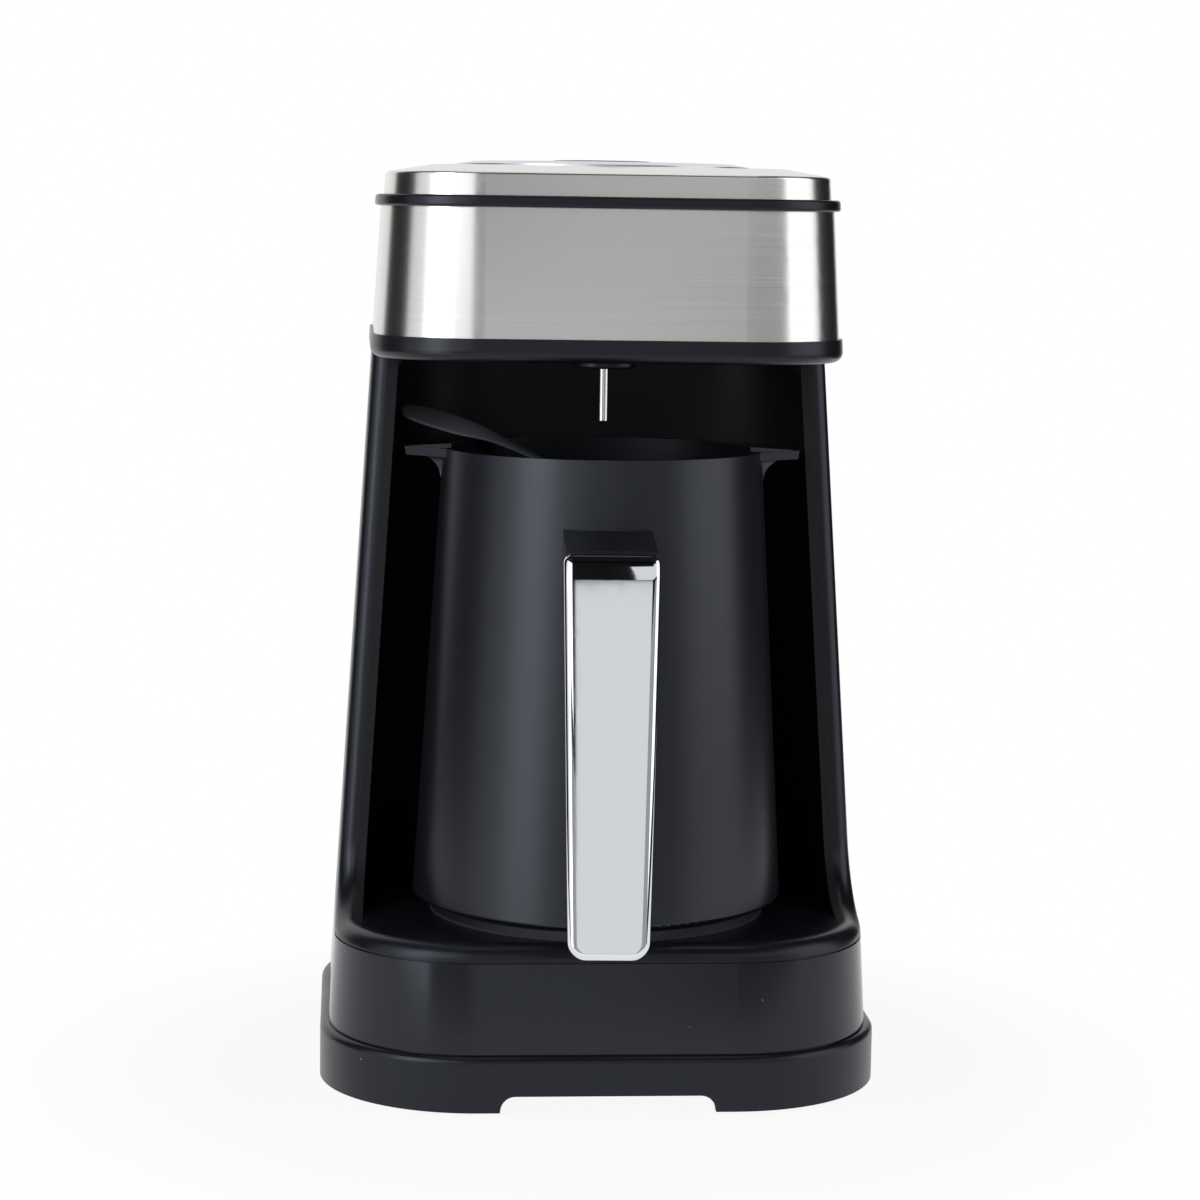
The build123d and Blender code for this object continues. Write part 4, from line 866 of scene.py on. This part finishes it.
    def tent(self, size):
        """Dark cloth round the front and sides of the set, open behind the machine and overhead, which gives the
        metal its dark streaks. The camera doesn't see it."""
        start_clean()
        bpy.ops.mesh.primitive_cylinder_add(
            vertices=72, radius=size.tent_radius, depth=self.TENT_HEM - self.TENT_FOOT, end_fill_type="NOTHING",
            location=(0, 0, (self.TENT_HEM + self.TENT_FOOT) / 2))
        tent = bpy.context.object
        bpy.ops.object.transform_apply(location=True, rotation=True, scale=True)
        bpy.ops.object.mode_set(mode="EDIT")
        pick("FACE", lambda f: not -size.tent_left < self.round(f.calc_center_median()) < size.tent_right)
        bpy.ops.mesh.delete(type="FACE")
        pick("EDGE", lambda e: all(v.co.z > self.TENT_HEM - 0.1 for v in e.verts))
        bpy.ops.mesh.extrude_region_move(TRANSFORM_OT_translate={"value": (0, 0, self.ROOF_RISE)})
        bpy.ops.transform.resize(value=(self.ROOF_SHARE, self.ROOF_SHARE, 1),
                                 center_override=(0, 0, self.TENT_HEM + self.ROOF_RISE))
        bpy.ops.object.mode_set(mode="OBJECT")
        tent.name = "tent"
        cloth, tree, shader, where = new_material("Cotton cloth black", Roughness=1.0)
        weave = add(tree, "ShaderNodeTexNoise", {"Vector": where}, {"Scale": per(20.0), "Detail": 2.0})
        tint = add(tree, "ShaderNodeMix", {"Factor": weave.outputs["Fac"]},
                   {"A": linear("26272A"), "B": linear("2E2F33")}, data_type="RGBA")
        tree.links.new(tint.outputs["Result"], shader.inputs["Base Color"])
        tent.data.materials.append(cloth)
        tent.visible_camera = False

    def round(self, point):
        """How far round a point lies, from the front to the right."""
        return math.atan2(point.x, -point.y)

    def world(self, context, size):
        """A dim room, white where the background is seen."""
        world = bpy.data.worlds.new("Studio")
        context.scene.world = world
        world.use_nodes = True
        tree = world.node_tree
        tree.nodes.clear()
        room = add(tree, "ShaderNodeBackground", values={"Color": linear("E6EAF2"), "Strength": size.room_light})
        white = add(tree, "ShaderNodeBackground", values={"Color": (1, 1, 1, 1), "Strength": 1.0})
        shown = self.lit(tree, room.outputs["Background"], white.outputs["Background"])
        add(tree, "ShaderNodeOutputWorld", {"Surface": shown})

    def camera(self, context, size):
        """The camera, placed by the point that it looks at and its three turns."""
        forward = Vector((math.sin(size.yaw) * math.cos(size.pitch), math.cos(size.yaw) * math.cos(size.pitch),
                          -math.sin(size.pitch)))
        right = Vector((math.cos(size.yaw), -math.sin(size.yaw), 0))
        up = right.cross(forward)
        rolled_right = math.cos(size.roll) * right + math.sin(size.roll) * up
        rolled_up = math.cos(size.roll) * up - math.sin(size.roll) * right
        eye = Vector((0, size.target_y, size.target_z)) - size.distance * forward
        data = bpy.data.cameras.new("camera")
        data.lens = size.focal
        data.sensor_width = 36.0
        data.clip_start = 0.01
        camera = bpy.data.objects.new("camera", data)
        context.scene.collection.objects.link(camera)
        axes = Matrix((rolled_right, rolled_up, -forward)).transposed().to_4x4()
        camera.matrix_world = Matrix.Translation(eye) @ axes
        context.scene.camera = camera


OPERATORS = (COFFEE_OT_finish_body, COFFEE_OT_finish_pot, COFFEE_OT_finish_insides, COFFEE_OT_handle_cover,
             COFFEE_OT_spoon, COFFEE_OT_start_button, COFFEE_OT_cover_screws, COFFEE_OT_stage)


class COFFEE_PT_sidebar(bpy.types.Panel):
    """The machine's steps and their sizes"""

    bl_label = "Coffee machine"
    bl_idname = "COFFEE_PT_sidebar"
    bl_space_type = "VIEW_3D"
    bl_region_type = "UI"
    bl_category = "Coffee machine"

    def draw(self, context):
        for operator in OPERATORS:
            self.layout.operator(operator.bl_idname)
        for group in GROUPS:
            settings = getattr(context.scene, group)
            box = self.layout.box()
            for name in settings.__annotations__:
                box.prop(settings, name)


CLASSES = tuple(GROUPS.values()) + OPERATORS + (COFFEE_PT_sidebar,)


def register():
    for cls in CLASSES:
        bpy.utils.register_class(cls)
    for name, group in GROUPS.items():
        setattr(bpy.types.Scene, name, PointerProperty(type=group))


def unregister():
    for name in GROUPS:
        delattr(bpy.types.Scene, name)
    for cls in reversed(CLASSES):
        bpy.utils.unregister_class(cls)


def main():
    register()
    bpy.ops.coffee.finish_body()
    bpy.ops.coffee.finish_pot()
    bpy.ops.coffee.finish_insides()
    bpy.ops.coffee.handle_cover()
    bpy.ops.coffee.spoon()
    bpy.ops.coffee.start_button()
    bpy.ops.coffee.cover_screws()
    bpy.ops.coffee.stage()


if __name__ == "__main__":
    main()
